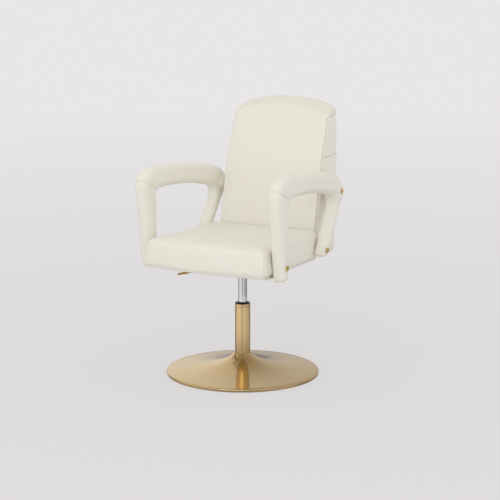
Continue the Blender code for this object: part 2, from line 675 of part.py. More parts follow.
def build_mechanism(root):
    """Seat plate with its taper socket, lever bracket and pivot pin."""
    drill = rod_profile(SCREW_RADIUS + CLEARANCE, PLATE_BOTTOM - PLATE_FLANGE, BOARD_TOP)
    holes = [revolve(drill, TINY_STEPS) for _ in plate_screw_spots()]
    for hole, (x, y) in zip(holes, plate_screw_spots()):
        bmesh.ops.translate(hole, vec=(x, y, 0), verts=hole.verts[:])
    screw_holes = add_cutter("screw_holes", join(*holes), root)

    half, flange_z = PLATE_WIDTH / 2, PLATE_TOP - PLATE_FLANGE
    inner_bend = PLATE_BEND - PLATE_THICKNESS
    section = [
        (-half, flange_z, 0),
        (-half, PLATE_TOP, PLATE_BEND),
        (half, PLATE_TOP, PLATE_BEND),
        (half, flange_z, 0),
        (half - PLATE_THICKNESS, flange_z, 0),
        (half - PLATE_THICKNESS, PLATE_BOTTOM, inner_bend),
        (PLATE_THICKNESS - half, PLATE_BOTTOM, inner_bend),
        (PLATE_THICKNESS - half, flange_z, 0),
    ]
    plate = prism(rounded(section), "YZ", -PLATE_LENGTH / 2, PLATE_LENGTH / 2)
    cut(add_piece("seat_plate", plate, "black_steel", root, smooth=False), screw_holes)

    bore = CYLINDER_RADIUS + CLEARANCE
    socket = [
        (bore, SOCKET_BOTTOM),
        (bore + SOCKET_WALL, SOCKET_BOTTOM),
        (bore + SOCKET_TOP_WALL, SOCKET_TOP),
        (bore, SOCKET_TOP),
        (bore, CYLINDER_TOP + CLEARANCE),
        (bore - TAPER_SHRINK, CYLINDER_TOP + CLEARANCE / 2),
    ]
    slot_width = LEVER_THICKNESS + 4 * RUNNING_GAP
    slot_bottom = PIVOT_Z - LEVER_BOSS_RADIUS - RUNNING_GAP
    slot_height = SOCKET_TOP - slot_bottom + RUNNING_GAP
    slot = box((LEVER_ARM, slot_width, slot_height), (-LEVER_ARM / 2, 0, slot_bottom + slot_height / 2))
    piece = add_piece("taper_socket", revolve(socket, MEDIUM_STEPS), "black_steel", root)
    cut(piece, add_cutter("lever_slot", slot, root))

    inner = LEVER_THICKNESS / 2 + RUNNING_GAP
    outer = inner + BRACKET_THICKNESS
    web_top = PLATE_BOTTOM - CLEARANCE
    web_bottom = PIVOT_Z + LEVER_BOSS_RADIUS + RUNNING_GAP
    ear_bottom = PIVOT_Z - LEVER_BOSS_RADIUS
    profile = [
        (-outer, ear_bottom, 0),
        (-outer, web_top, 0),
        (outer, web_top, 0),
        (outer, ear_bottom, 0),
        (inner, ear_bottom, 0),
        (inner, web_bottom, 0),
        (-inner, web_bottom, 0),
        (-inner, ear_bottom, 0),
    ]
    span = (-LEVER_ARM - BRACKET_LENGTH / 2, -LEVER_ARM + BRACKET_LENGTH / 2)
    ears = prism(rounded(profile), "YZ", *span)
    bracket = add_piece("lever_bracket", ears, "black_steel", root, smooth=False)
    crosswise = (math.pi / 2, 0, 0)
    pivot = (-LEVER_ARM, 0, PIVOT_Z)
    reach = outer + BRACKET_THICKNESS / 2
    pin = rod_profile(LEVER_PIN_RADIUS, -reach, reach)
    add_piece("lever_pin", revolve(pin, SMALL_STEPS), "steel", root, pivot, crosswise)
    hole = rod_profile(LEVER_PIN_RADIUS + CLEARANCE, -2 * reach, 2 * reach)
    pin_hole = add_cutter("pin_hole", revolve(hole, SMALL_STEPS), root, pivot, crosswise)
    cut(bracket, pin_hole)

    for k, (x, y) in enumerate(plate_screw_spots(), 1):
        seat = PLATE_BOTTOM - CLEARANCE
        screw = [
            (0, seat - SCREW_HEAD_HEIGHT),
            (SCREW_CROWN_RADIUS, seat - SCREW_HEAD_HEIGHT),
            (SCREW_HEAD_RADIUS, seat - SCREW_RIM_HEIGHT),
            (SCREW_HEAD_RADIUS, seat),
            (SCREW_RADIUS, seat),
            (SCREW_RADIUS, seat + SCREW_LENGTH),
            (0, seat + SCREW_LENGTH),
        ]
        add_piece(f"plate_screw_{k}", revolve(screw, TINY_STEPS), "steel", root, (x, y, 0))
    return screw_holes


def build_lever(root):
    """Lever bar that presses the release pin, with its gold paddle; both turn on the pivot pin."""
    pivot = add_empty("lever_pivot", root, (-LEVER_ARM, 0, PIVOT_Z))
    nose = PIN_TOP + CLEARANCE - PIVOT_Z
    along = Vector((-math.cos(LEVER_DROOP), -math.sin(LEVER_DROOP)))
    up = Vector((-math.sin(LEVER_DROOP), math.cos(LEVER_DROOP)))
    half_nose = LEVER_NOSE_WIDTH / 2
    shoulder = HANDLE_START - CLEARANCE
    stations = [(shoulder, HANDLE_THICKNESS), (shoulder, LEVER_TONGUE_HEIGHT)]
    stations.append((LEVER_BAR_LENGTH, LEVER_TONGUE_HEIGHT))
    upper = [(*(along * u + up * h / 2), 0) for u, h in stations]
    lower = [(*(along * u - up * h / 2), 0) for u, h in reversed(stations)]
    outline = [
        (0, LEVER_BOSS_RADIUS, LEVER_BOSS_RADIUS),
        *upper,
        *lower,
        (0, -LEVER_BOSS_RADIUS, LEVER_BOSS_RADIUS),
        (LEVER_ARM - half_nose * 3, nose / 2, LEVER_FILLET),
        (LEVER_ARM - half_nose, nose, half_nose / 2),
        (LEVER_ARM + half_nose, nose, half_nose / 2),
        (LEVER_ARM + half_nose * 2, 0, LEVER_FILLET),
        (LEVER_ARM, LEVER_TONGUE_HEIGHT, LEVER_FILLET),
    ]
    half = LEVER_THICKNESS / 2
    bar = add_piece("lever_bar", prism(rounded(outline), "XZ", -half, half), "black_steel", pivot)
    hole = rod_profile(LEVER_PIN_RADIUS + CLEARANCE, -LEVER_THICKNESS, LEVER_THICKNESS)
    cut(bar, add_cutter("lever_hole", revolve(hole, SMALL_STEPS), pivot, (0, 0, 0), (math.pi / 2, 0, 0)))

    neck, rear = HANDLE_NECK_WIDTH / 2, HANDLE_WIDTH / 2 - HANDLE_SWEEP
    front, step = rear - HANDLE_WIDTH, rear - HANDLE_TONGUE_WIDTH
    start, blade = -HANDLE_START, -HANDLE_START - HANDLE_NECK_LENGTH
    widened, end = blade - HANDLE_WIDTH / 2, -HANDLE_START - HANDLE_LENGTH
    notch = end + HANDLE_TONGUE
    plan = [
        (start, neck, HANDLE_CORNER),
        (blade, neck, HANDLE_NECK_ROUND),
        (widened, rear, HANDLE_SHOULDER_ROUND),
        (end, rear, HANDLE_CORNER),
        (end, step, HANDLE_CORNER),
        (notch, step, HANDLE_CORNER),
        (notch, front, HANDLE_CORNER),
        (widened, front, HANDLE_SHOULDER_ROUND),
        (blade, -neck, HANDLE_NECK_ROUND),
        (start, -neck, HANDLE_CORNER),
    ]
    plan = rounded(plan)
    edge, thick = HANDLE_EDGE, HANDLE_THICKNESS / 2
    slabs = [(-thick, edge), (-thick + edge, 0), (thick - edge, 0), (thick, edge)]
    paddle = loft([place(inset(plan, d), "XY", z) for z, d in slabs])
    tilt = (0, -LEVER_DROOP, 0)
    handle = add_piece("lever_handle", paddle, "dark_gold", pivot, (0, 0, 0), tilt)
    gap = 2 * CLEARANCE
    pocket_length = 2 * (LEVER_BAR_LENGTH + CLEARANCE - HANDLE_START)
    pocket = box((pocket_length, LEVER_THICKNESS + gap, LEVER_TONGUE_HEIGHT + gap), (start, 0, 0))
    cut(handle, add_cutter("handle_pocket", pocket, pivot, (0, 0, 0), tilt))


def seat_side(y):
    """Half-width that the arm loops leave for the seat at y."""
    return ARM_X + ARM_INNER / math.cos(ARM_TOE) - (y - ARM_REF_Y) * math.tan(ARM_TOE) - CLEARANCE


def bowed(half, front, bow):
    """Points of a shallow bowed edge, between its two corners."""
    return [(half * k, front + bow * k**2, 0) for k in (-2 / 3, -1 / 3, 0, 1 / 3, 2 / 3)]


def seat_plan():
    """Plan of the cushion between the arms: bowed front, toed-in sides."""
    front, rear = -SEAT_FRONT, BACK_FRONT_Y - CLEARANCE
    wide, narrow = seat_side(front + SEAT_FRONT_BOW), seat_side(rear)
    return rounded(
        [
            (-wide, front + SEAT_FRONT_BOW, SEAT_CORNER),
            *bowed(wide, front, SEAT_FRONT_BOW),
            (wide, front + SEAT_FRONT_BOW, SEAT_CORNER),
            (narrow, rear, SEAT_REAR_CORNER),
            (-narrow, rear, SEAT_REAR_CORNER),
        ]
    )


def seat_rings():
    """Rings of the cushion from its underside up over the edge to the crown."""
    plan = seat_plan()
    centre = Vector((0, (BACK_FRONT_Y - CLEARANCE - SEAT_FRONT) / 2))
    reach = seat_side(centre.y)
    rings = []
    for k in range(SEAT_SIDE_STEPS + 1):
        share = k / SEAT_SIDE_STEPS
        draw = SEAT_BULGE * (2 * share - 1) ** 2
        if k == 0:
            draw += SEAT_BULGE
        level = SEAT_LOW + (SEAT_SKIRT + SEAT_EDGE_HEIGHT - SEAT_EDGE_ROUND) * share
        rings.append((level, 1 - draw / reach))
    edge_scale = rings[-1][1]
    for k in range(1, SEAT_EDGE_STEPS + 1):
        angle = SEAT_EDGE_SWEEP * k / SEAT_EDGE_STEPS
        level = SEAT_BOTTOM + SEAT_EDGE_HEIGHT - SEAT_EDGE_ROUND * (1 - math.sin(angle))
        rings.append((level, edge_scale - SEAT_EDGE_ROUND * (1 - math.cos(angle)) / reach))
    last_level, last_scale = rings[-1]
    top = SEAT_BOTTOM + SEAT_EDGE_HEIGHT + SEAT_CROWN
    for k in range(1, SEAT_CROWN_STEPS + 1):
        share = SEAT_CROWN_REACH * k / SEAT_CROWN_STEPS
        level = last_level + (top - last_level) * (1 - (1 - share) ** 2)
        rings.append((level, last_scale * (1 - share)))
    return [risen(place(scaled(plan, centre, s), "XY", z), z, top) for z, s in rings]


def risen(ring, level, top):
    """A ring of the cushion, tilted so that the top rises to the rear."""
    tilt = SEAT_REAR_RISE * (level - SEAT_LOW) / (top - SEAT_LOW) / (SEAT_FRONT + BACK_FRONT_Y)
    return [Vector((x, y, z + tilt * (y + SEAT_FRONT))) for x, y, z in ring]


def build_seat(root, screw_holes):
    """Seat board with its dust cover, and the cushion that wraps it."""
    plan = inset(seat_plan(), BOARD_MARGIN)
    board = add_piece("seat_board", prism(plan, "XY", SEAT_BOTTOM, BOARD_TOP), "plywood", root, smooth=False)
    half = seat_side(ARM_REF_Y) - TOE_LENGTH - DUST_COVER_TOE_GAP
    front = SEAT_FRONT_BOW + BOARD_MARGIN + DUST_COVER_MARGIN - SEAT_FRONT
    rear = BACK_FRONT_Y - BOARD_MARGIN - DUST_COVER_MARGIN
    spots = [(-half, front), (half, front), (half, rear), (-half, rear)]
    felt = rounded([(x, y, DUST_COVER_CORNER) for x, y in spots])
    felt = prism(felt, "XY", DUST_COVER_BOTTOM, DUST_COVER_BOTTOM + DUST_COVER_THICKNESS)
    cover = add_piece("dust_cover", felt, "felt", root, smooth=False)
    for piece in (board, cover):
        cut(piece, screw_holes)
    cushion = add_piece("seat_cushion", loft(seat_rings()), "vinyl", root)
    room = prism(inset(plan, -CLEARANCE), "XY", SEAT_BOTTOM - BOARD_THICKNESS, BOARD_TOP + CLEARANCE / 2)
    cut(cushion, add_cutter("board_room", room, root))
    return cushion


def arm_outline():
    """Side view of an arm loop: front leg, rail and leaning rear leg, open below."""
    leg = FRONT_LEG_Y
    return rounded(
        [
            (leg - FRONT_LEG_FOOT_WIDTH, FRONT_LEG_FOOT_Z, FOOT_ROUND),
            (leg - FRONT_LEG_TOP_WIDTH, ARM_TOP, ARM_FRONT_ROUND),
            (ARM_CREST_Y, ARM_TOP - ARM_CREST_DROP, ARM_TOP_SWEEP),
            (ARM_REAR_Y, ARM_TOP - ARM_REAR_DROP, ARM_REAR_ROUND),
            (ARM_HEEL_Y, ARM_TOP - ARM_HEEL_DROP, ARM_HEEL_ROUND),
            (REAR_LEG_FOOT_Y + REAR_LEG_FOOT_WIDTH, REAR_LEG_FOOT_Z, FOOT_ROUND),
            (REAR_LEG_FOOT_Y, REAR_LEG_FOOT_Z, FOOT_ROUND),
            (LOOP_REAR_Y, ARM_TOP - LOOP_REAR_DEPTH, LOOP_REAR_ROUND),
            (LOOP_MID_Y, ARM_TOP - LOOP_MID_DEPTH, ARM_TOP_SWEEP),
            (leg, ARM_TOP - LOOP_FRONT_DEPTH, LOOP_FRONT_ROUND),
            (leg, FRONT_LEG_FOOT_Z, FOOT_ROUND),
        ]
    )


def arm_half(outline, side):
    """One padded half of an arm, from its rounded face to the pocket for the core."""
    face = ARM_WIDTH / 2
    levels = []
    for k in range(EDGE_STEPS + 1):
        angle = math.pi / 2 * k / EDGE_STEPS
        depth = ARM_EDGE_ROUND * (1 - math.cos(angle))
        levels.append((face - depth, ARM_EDGE_ROUND * (1 - math.sin(angle))))
    split = CLEARANCE / 2
    pocket = CORE_FOAM - CLEARANCE
    levels += [(split, 0), (split, pocket), (CORE_FRONT_GAP, pocket)]
    return loft([place(inset(outline, d), "YZ", side * x) for x, d in levels])


def arm_toe(side):
    """Padded wedge that turns in from the front leg's foot and carries the seat's corner."""
    front, rear = FRONT_LEG_Y - FRONT_LEG_FOOT_WIDTH, FRONT_LEG_Y
    high = SEAT_LOW - CLEARANCE
    start = ARM_INNER - CLEARANCE

    def section(x, trim):
        share = x / TOE_LENGTH
        low = FRONT_LEG_FOOT_Z + TOE_RISE
        low += (high - TOE_TIP - low) * share
        corner = TOE_ROUND + (TOE_TIP_ROUND - TOE_ROUND) * share
        spots = [(front, low), (rear, low), (rear, high), (front, high)]
        return place(inset(rounded([(y, z, corner) for y, z in spots]), trim), "YZ", side * (start - x))

    stations = [(0, TOE_EDGE), (TOE_EDGE, 0), (TOE_LENGTH - TOE_EDGE, 0), (TOE_LENGTH, TOE_EDGE)]
    return loft([section(x, trim) for x, trim in stations])


def arm_bolt_places():
    """Name, Y and Z of an arm's three bolts: two into the seat and one into the back."""
    taper = (FRONT_LEG_TOP_WIDTH - FRONT_LEG_FOOT_WIDTH) / (ARM_TOP - FRONT_LEG_FOOT_Z)
    front_y = FRONT_LEG_Y - (FRONT_LEG_FOOT_WIDTH + taper * FRONT_BOLT_RISE) / 2
    lean = (LOOP_REAR_Y - REAR_LEG_FOOT_Y) / (ARM_TOP - LOOP_REAR_DEPTH - REAR_LEG_FOOT_Z)
    rear_y = REAR_LEG_FOOT_Y + REAR_BOLT_SHARE * REAR_LEG_FOOT_WIDTH + lean * REAR_BOLT_RISE
    return [
        ("front", front_y, FRONT_LEG_FOOT_Z + FRONT_BOLT_RISE),
        ("rear", rear_y, REAR_LEG_FOOT_Z + REAR_BOLT_RISE),
        ("back", BACK_BOLT_Y, BACK_BOLT_Z),
    ]


def spacer_length():
    """Room between an arm's inner face and the side of the back at its bolt."""
    toe = (BACK_BOLT_Y - ARM_REF_Y) * math.tan(ARM_TOE)
    gap = ARM_X + ARM_INNER / math.cos(ARM_TOE) - toe - back_half_width(BACK_BOLT_Z)
    return gap - SPACER_RADIUS * math.tan(ARM_TOE) - 2 * CLEARANCE


def bolt_pieces(seat_foam):
    """Profiles along a bolt's axis, outside first: the bolt, its insert and the hole for both."""
    face = ARM_WIDTH / 2 - BOLT_HEAD_SUNK
    insert_outer = ARM_INNER - seat_foam - CLEARANCE
    insert_inner = insert_outer - INSERT_LENGTH
    tip = insert_inner + CLEARANCE
    top = face + BOLT_HEAD_HEIGHT
    bolt = [
        (0, tip),
        (BOLT_RADIUS, tip),
        (BOLT_RADIUS, face),
        (BOLT_HEAD_RADIUS, face),
        (BOLT_HEAD_RADIUS, face + BOLT_RIM_HEIGHT),
        (BOLT_CROWN_RADIUS, top),
        (BOLT_SOCKET_RADIUS, top),
        (BOLT_SOCKET_RADIUS, top - BOLT_SOCKET_DEPTH),
        (0, top - BOLT_SOCKET_DEPTH),
    ]
    hole = BOLT_RADIUS + CLEARANCE
    insert = ring_profile(hole, INSERT_RADIUS, insert_inner, insert_outer)
    seat = INSERT_RADIUS + CLEARANCE
    head = BOLT_HEAD_RADIUS + CLEARANCE
    clear = [
        (0, insert_inner - CLEARANCE),
        (seat, insert_inner - CLEARANCE),
        (seat, insert_outer + CLEARANCE),
        (hole, insert_outer + CLEARANCE),
        (hole, face - CLEARANCE),
        (head, face - CLEARANCE),
        (head, face + ARM_WIDTH),
        (0, face + ARM_WIDTH),
    ]
    return bolt, insert, clear


def build_arm(root, side, label):
    """One arm: plywood core between two padded halves, its seat rail, bolts and inserts."""
    mount = add_empty(f"arm_mount_{label}", root, (side * ARM_X, ARM_REF_Y, 0), (0, 0, side * ARM_TOE))
    home = (0, -ARM_REF_Y, 0)
    outline = arm_outline()
    halves = [
        add_piece(f"arm_pad_outer_{label}", arm_half(outline, side), "vinyl", mount, home),
        add_piece(f"arm_pad_inner_{label}", arm_half(outline, -side), "vinyl", mount, home),
    ]
    half = CORE_THICKNESS / 2
    core = prism(inset(outline, CORE_FOAM), "YZ", -half, half)
    halves.append(add_piece(f"arm_core_{label}", core, "plywood", mount, home, smooth=False))

    add_piece(f"arm_toe_{label}", arm_toe(side), "vinyl", mount, home)

    rail_size = (RAIL_THICKNESS, RAIL_FRONT + RAIL_REAR, RAIL_HEIGHT)
    rail_x = side * (RAIL_OUTER - RAIL_THICKNESS / 2)
    rail_z = RAIL_BOTTOM + RAIL_HEIGHT / 2
    rail_centre = (rail_x, (RAIL_REAR - RAIL_FRONT) / 2, rail_z)
    rail = add_piece(f"seat_rail_{label}", box(rail_size, rail_centre), "plywood", mount, home, smooth=False)
    pocket_size = [s + 2 * CLEARANCE for s in rail_size]
    pocket = add_cutter(f"rail_pocket_{label}", box(pocket_size, rail_centre), mount, home)

    across = (0, side * math.pi / 2, 0)
    foams = {"front": CLEARANCE + RAIL_FOAM, "rear": CLEARANCE + RAIL_FOAM}
    foams["back"] = spacer_length() + 2 * CLEARANCE + CHEEK_FOAM
    holes = {}
    for name, y, z in arm_bolt_places():
        spot = (0, y - ARM_REF_Y, z)
        bolt, insert, clear = bolt_pieces(foams[name])
        add_piece(f"arm_bolt_{name}_{label}", revolve(bolt, BOLT_STEPS), "gold", mount, spot, across)
        add_piece(f"insert_{name}_{label}", revolve(insert, TINY_STEPS), "steel", mount, spot, across)
        holes[name] = add_cutter(f"bolt_{name}_{label}", revolve(clear, BOLT_STEPS), mount, spot, across)
    for piece in halves:
        cut(piece, *holes.values())
    cut(rail, holes["front"], holes["rear"])

    start = ARM_INNER - CLEARANCE
    end = start - spacer_length()
    spacer = ring_profile(BOLT_RADIUS + CLEARANCE, SPACER_RADIUS, end, start)
    spot = (0, BACK_BOLT_Y - ARM_REF_Y, BACK_BOLT_Z)
    add_piece(f"back_spacer_{label}", revolve(spacer, SMALL_STEPS), "black_plastic", mount, spot, across)
    return pocket, holes


def back_share(z):
    """Share of the way up the back's front face, from the seat seam to the shoulder."""
    return min(1.0, max(0.0, (z - BACK_SEAM_Z) / (BACK_SHOULDER - BACK_SEAM_Z)))


def back_side(z):
    """Half-width of the back below its shoulders."""
    share = back_share(z)
    straight = BACK_HALF_WIDTH_BOTTOM + (BACK_HALF_WIDTH_TOP - BACK_HALF_WIDTH_BOTTOM) * share
    return straight + BACK_SIDE_BULGE * math.sin(math.pi * share)


def back_half_width(z):
    """Half-width with the swept top and the rounded corners."""
    width = back_side(z)
    arch = math.sqrt(max(0.0, 2 * BACK_TOP_SWEEP * (BACK_TOP - z)))
    if z < BACK_BOTTOM + BACK_CORNER:
        rise = (BACK_BOTTOM + BACK_CORNER - z) / BACK_CORNER
        return width - BACK_CORNER * (1 - math.sqrt(max(0.0, 1 - rise**2)))
    # A power mean rounds the corner where the side meets the swept top
    power = BACK_CORNER_POWER
    return (width**-power + max(arch, CLEARANCE) ** -power) ** (-1 / power)


def back_front(z):
    """Y of the front face at its sides, rolled over at the top."""
    share = back_share(z)
    rise = max(0.0, z - BACK_SEAM_Z)
    face = BACK_FRONT_Y + rise * math.tan(BACK_LEAN) - BACK_LUMBAR * math.sin(math.pi * share)
    if z > BACK_SHOULDER:
        roll = min(1.0, (z - BACK_SHOULDER) / (BACK_TOP - BACK_SHOULDER))
        straight = (z - BACK_SHOULDER) * math.tan(BACK_LEAN)
        face += BACK_TOP_ROLL * (1 - math.sqrt(max(0.0, 1 - roll**2))) - straight * roll
    return face


def back_section(z):
    """Plan section of the back at a height, with a crowned front."""
    half = back_half_width(z)
    front, rear = back_front(z), back_rear(z)
    for roll, depth in ((BACK_BOTTOM_ROLL, z - BACK_BOTTOM), (BACK_TOP_REAR_ROLL, BACK_TOP - z)):
        turn = max(0.0, 1 - depth / roll)
        rear -= roll * (1 - math.sqrt(1 - turn**2))
    edge = min(BACK_EDGE_ROUND, 0.4 * (rear - front), 0.4 * half)
    rear_edge = min(BACK_REAR_EDGE_ROUND, edge)
    corners = [
        (-half, front, edge),
        *bowed(half, front - BACK_FACE_CROWN * back_share(z), BACK_FACE_CROWN * back_share(z)),
        (half, front, edge),
        (half, rear, rear_edge),
        (-half, rear, rear_edge),
    ]
    return place(rounded(corners, BACK_EDGE_STEPS), "XY", z)


def back_levels():
    """Heights of the back's sections, closer at the bottom and over the top."""
    low = [math.pi / 2 * k / EDGE_STEPS for k in range(EDGE_STEPS + 1)]
    low = [BACK_BOTTOM + BACK_CORNER * (1 - math.cos(angle)) for angle in low]
    body = [k / BACK_BODY_STEPS for k in range(BACK_BODY_STEPS + 1)]
    body = [BACK_SEAM_Z + (BACK_SHOULDER - BACK_SEAM_Z) * share for share in body]
    top = [math.pi / 2 * k / (BACK_TOP_STEPS + 1) for k in range(1, BACK_TOP_STEPS + 1)]
    top = [BACK_SHOULDER + (BACK_TOP - BACK_SHOULDER) * math.sin(angle) for angle in top]
    return low + body + top


def build_back(root):
    """Back cushion with its plywood frame, side cheeks and closing panel."""
    cushion = add_piece("back_cushion", loft([back_section(z) for z in back_levels()]), "vinyl", root)
    tilt = add_empty("back_rear_face", root, (0, BACK_REAR_Y, BACK_SEAM_Z), (-BACK_REAR_LEAN, 0, 0))

    def tilted_outline(margin):
        half = BACK_HALF_WIDTH_TOP - margin
        low = BACK_BOTTOM - BACK_SEAM_Z + margin
        high = BACK_TOP - BACK_BOARD_TOP_CLEAR - BACK_SEAM_Z - margin
        spots = [(-half, low), (half, low), (half, high), (-half, high)]
        return rounded([(x, z, BACK_CORNER) for x, z in spots])

    panel = tilted_outline(BACK_PANEL_MARGIN)
    slab = prism(panel, "XZ", BACK_PANEL_FRONT, -CLEARANCE)
    add_piece("back_panel", slab, "vinyl", tilt, smooth=False)
    frame = tilted_outline(BACK_FRAME_MARGIN)
    board = prism(frame, "XZ", BACK_FRAME_FRONT, BACK_FRAME_REAR)
    add_piece("back_frame", board, "plywood", tilt, smooth=False)
    panel_room = prism(inset(panel, -CLEARANCE), "XZ", BACK_PANEL_FRONT - CLEARANCE / 2, BACK_PANEL_THICKNESS)
    frame_room = prism(inset(frame, -CLEARANCE), "XZ", BACK_FRAME_FRONT - CLEARANCE, BACK_PANEL_FRONT)
    cut(cushion, add_cutter("panel_room", panel_room, tilt), add_cutter("frame_room", frame_room, tilt))
    return cushion, tilt


def build_cheek(tilt, cushion, side, label):
    """Wooden cheek in front of the back frame that takes an arm's upper bolt."""
    z = BACK_BOLT_Z - BACK_SEAM_Z
    outer = back_half_width(BACK_BOLT_Z) - CHEEK_FOAM
    front = BACK_BOLT_Y - BACK_REAR_Y - CHEEK_THICKNESS / 2
    rear = BACK_FRAME_FRONT - CLEARANCE
    size = (CHEEK_THICKNESS, rear - front, CHEEK_HEIGHT)
    centre = (side * (outer - CHEEK_THICKNESS / 2), (front + rear) / 2, z)
    cheek = add_piece(f"back_cheek_{label}", box(size, centre), "plywood", tilt, smooth=False)
    room = box([s + 2 * CLEARANCE for s in size], centre)
    cut(cushion, add_cutter(f"cheek_room_{label}", room, tilt))
    return cheek


def main():
    for old in list(bpy.data.objects):
        bpy.data.objects.remove(old, do_unlink=True)
    root = add_empty("column_axis", None, (0, COLUMN_Y, 0))
    build_base(root)
    build_column(root)
    build_bearing_cage(root)
    build_piston(root)
    build_cylinder(root)
    screw_holes = build_mechanism(root)
    build_lever(root)
    seat = build_seat(root, screw_holes)
    back, tilt = build_back(root)
    for side, label in ((1, "left"), (-1, "right")):
        pocket, holes = build_arm(root, side, label)
        cut(seat, pocket, holes["front"], holes["rear"])
        cheek = build_cheek(tilt, back, side, label)
        cut(cheek, holes["back"])
        cut(back, holes["back"])


main()
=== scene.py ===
"""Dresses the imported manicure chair: padded upholstery, gold metalwork, mechanism and a pale studio."""

import json
import math
from functools import partial

import bmesh
import bpy
import numpy as np
from bpy.props import FloatProperty, FloatVectorProperty, IntProperty, PointerProperty
from bpy.types import Operator, Panel, PropertyGroup
from mathutils import Matrix, Vector


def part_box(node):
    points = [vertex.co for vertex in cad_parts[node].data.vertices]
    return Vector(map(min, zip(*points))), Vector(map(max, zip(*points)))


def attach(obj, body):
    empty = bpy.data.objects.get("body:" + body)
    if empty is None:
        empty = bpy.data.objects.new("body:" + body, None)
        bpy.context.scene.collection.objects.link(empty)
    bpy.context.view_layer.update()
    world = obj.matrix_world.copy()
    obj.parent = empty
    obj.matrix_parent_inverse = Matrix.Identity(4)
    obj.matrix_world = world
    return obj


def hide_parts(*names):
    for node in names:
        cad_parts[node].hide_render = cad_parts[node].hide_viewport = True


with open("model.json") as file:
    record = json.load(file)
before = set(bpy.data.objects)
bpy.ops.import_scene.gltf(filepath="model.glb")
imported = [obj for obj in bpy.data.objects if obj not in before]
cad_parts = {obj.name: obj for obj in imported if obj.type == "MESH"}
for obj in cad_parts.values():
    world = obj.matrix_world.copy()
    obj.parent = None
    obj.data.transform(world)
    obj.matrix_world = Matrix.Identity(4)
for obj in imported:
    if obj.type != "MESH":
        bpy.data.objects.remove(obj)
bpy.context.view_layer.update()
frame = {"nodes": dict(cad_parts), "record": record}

bl_info = {
    "name": "Manicure chair",
    "version": (1, 0, 0),
    "blender": (4, 5, 0),
    "location": "3D View > Sidebar > Chair",
    "description": "Models the upholstery, metalwork and studio of a gas-lift manicure chair",
    "category": "Object",
}

RECORD = frame["record"]
SLOTS = {part["node"]: part["material_slot"] for part in RECORD["subparts"]}
BODIES = {node: body for body, nodes in RECORD["behaviour"]["bodies"].items() for node in nodes}
AXIS = {joint["name"]: Vector(joint.get("pos_m", (0, 0, 0))) for joint in RECORD["behaviour"]["joints"]}
COLUMN_Y = AXIS["swivel"].y
SIDES = ((1, "left"), (-1, "right"))


def linear(hex_colour):
    """Linear RGBA of an sRGB hex colour."""
    channels = [int(hex_colour[k:k + 2], 16) / 255 for k in (0, 2, 4)]
    return (*[c / 12.92 if c <= 0.04045 else ((c + 0.055) / 1.055) ** 2.4 for c in channels], 1.0)


def colour(name, description, hex_colour):
    """Colour property of a finish."""
    return FloatVectorProperty(
        name=name, description=description, subtype="COLOR", size=4, min=0, max=1, default=linear(hex_colour)
    )


def length(name, description, metres):
    """Length property in metres."""
    return FloatProperty(name=name, description=description, unit="LENGTH", precision=4, default=metres)


def turn(name, description, degrees):
    """Angle property."""
    return FloatProperty(name=name, description=description, unit="ROTATION", default=math.radians(degrees))


def number(name, description, value, unit="NONE"):
    """Plain number property."""
    return FloatProperty(name=name, description=description, unit=unit, default=value)


def count(name, description, value):
    """Whole number property."""
    return IntProperty(name=name, description=description, default=value)


class CHAIR_PG_upholstery(PropertyGroup):
    """Fabric, stuffing and seams of the padded pieces"""

    cream: colour("Cream", "Coated fabric in the light", "E8E5DB")
    warm_cream: colour("Warm cream", "Tone that the cream drifts towards in broad patches", "E6E2D5")
    # Painted shade: the colour that seams, creases and the back's top band are darkened towards
    seam_shade: colour("Seam shade", "Colour down in a seam", "A79F86")
    grain: length("Grain", "Width of one pebble of the embossed grain", 0.0022)
    pressure: number("Pressure", "Push of the stuffing on the cloth", 4.0)
    frames: count("Frames", "Frames of cloth simulation", 20)
    give: number("Give", "Share of the cloth's inward pull that the foam lets through", 0.2)
    seam_depth: length("Seam depth", "How deep a sewn line sinks", 0.0018)
    seam_width: length("Seam width", "Half-width of a sewn line's hollow", 0.0027)


class CHAIR_PG_seat(PropertyGroup):
    """Seat cushion"""

    mesh_size: length("Mesh size", "Spacing of the cloth mesh", 0.005)
    swell: length("Swell", "Furthest that the top rises over the solid's", 0.004)
    side_swell: length("Side swell", "Furthest that the sides move out", 0.0015)
    tuck_height: length("Tuck height", "Height of the tucked line over the cushion's underside", 0.007)
    flat: length("Flat", "Cloth this near to the underside is pulled flat", 0.0012)
    corner_turn: turn("Corner turn", "Where round a front corner its seam stands", 45)
    corner: length("Corner", "Radius of the front corners in plan", 0.015)
    bow: length("Bow", "How far the front's middle stands ahead of its corners", 0.019)


class CHAIR_PG_back(PropertyGroup):
    """Backrest"""

    mesh_size: length("Mesh size", "Spacing of the cloth mesh", 0.005)
    swell: length("Swell", "Furthest that the front moves out", 0.003)
    seam_set: length("Seam set", "How far behind the front face the side seam runs", 0.006)
    boxing_drop: length("Boxing drop", "Side panel's top seam under the back's top, at the front", 0.062)
    boxing_rise: length("Boxing rise", "How much that seam rises to the rear", 0.015)
    cross_height: length("Cross height", "Height of the curved seam over the side panel", 0.698)
    cross_rise: length("Cross rise", "How much the curved seam rises to the rear", 0.014)
    roll_drop: length("Roll drop", "Soft crease under the top roll, below the back's top", 0.024)
    roll_bend: number("Roll bend", "How fast that crease falls to the sides", 1.03)
    roll_back: length("Roll back", "How far the top's front edge stands back over that crease", 0.032)
    # Painted shade: the top band over the roll crease is darkened by this share, standing in for the dimmer
    # light on its upward slope
    roll_tone: number("Roll tone", "Shade of the top, whose nap lies the other way", 0.18)
    roll_fade: length("Roll fade", "Run over which that shade starts", 0.006)
    panel_recess: length("Panel recess", "Depth of the recess that the rear panel lies in", 0.0052)
    panel_edge: length("Panel edge", "Width of the recess's rounded edge", 0.006)


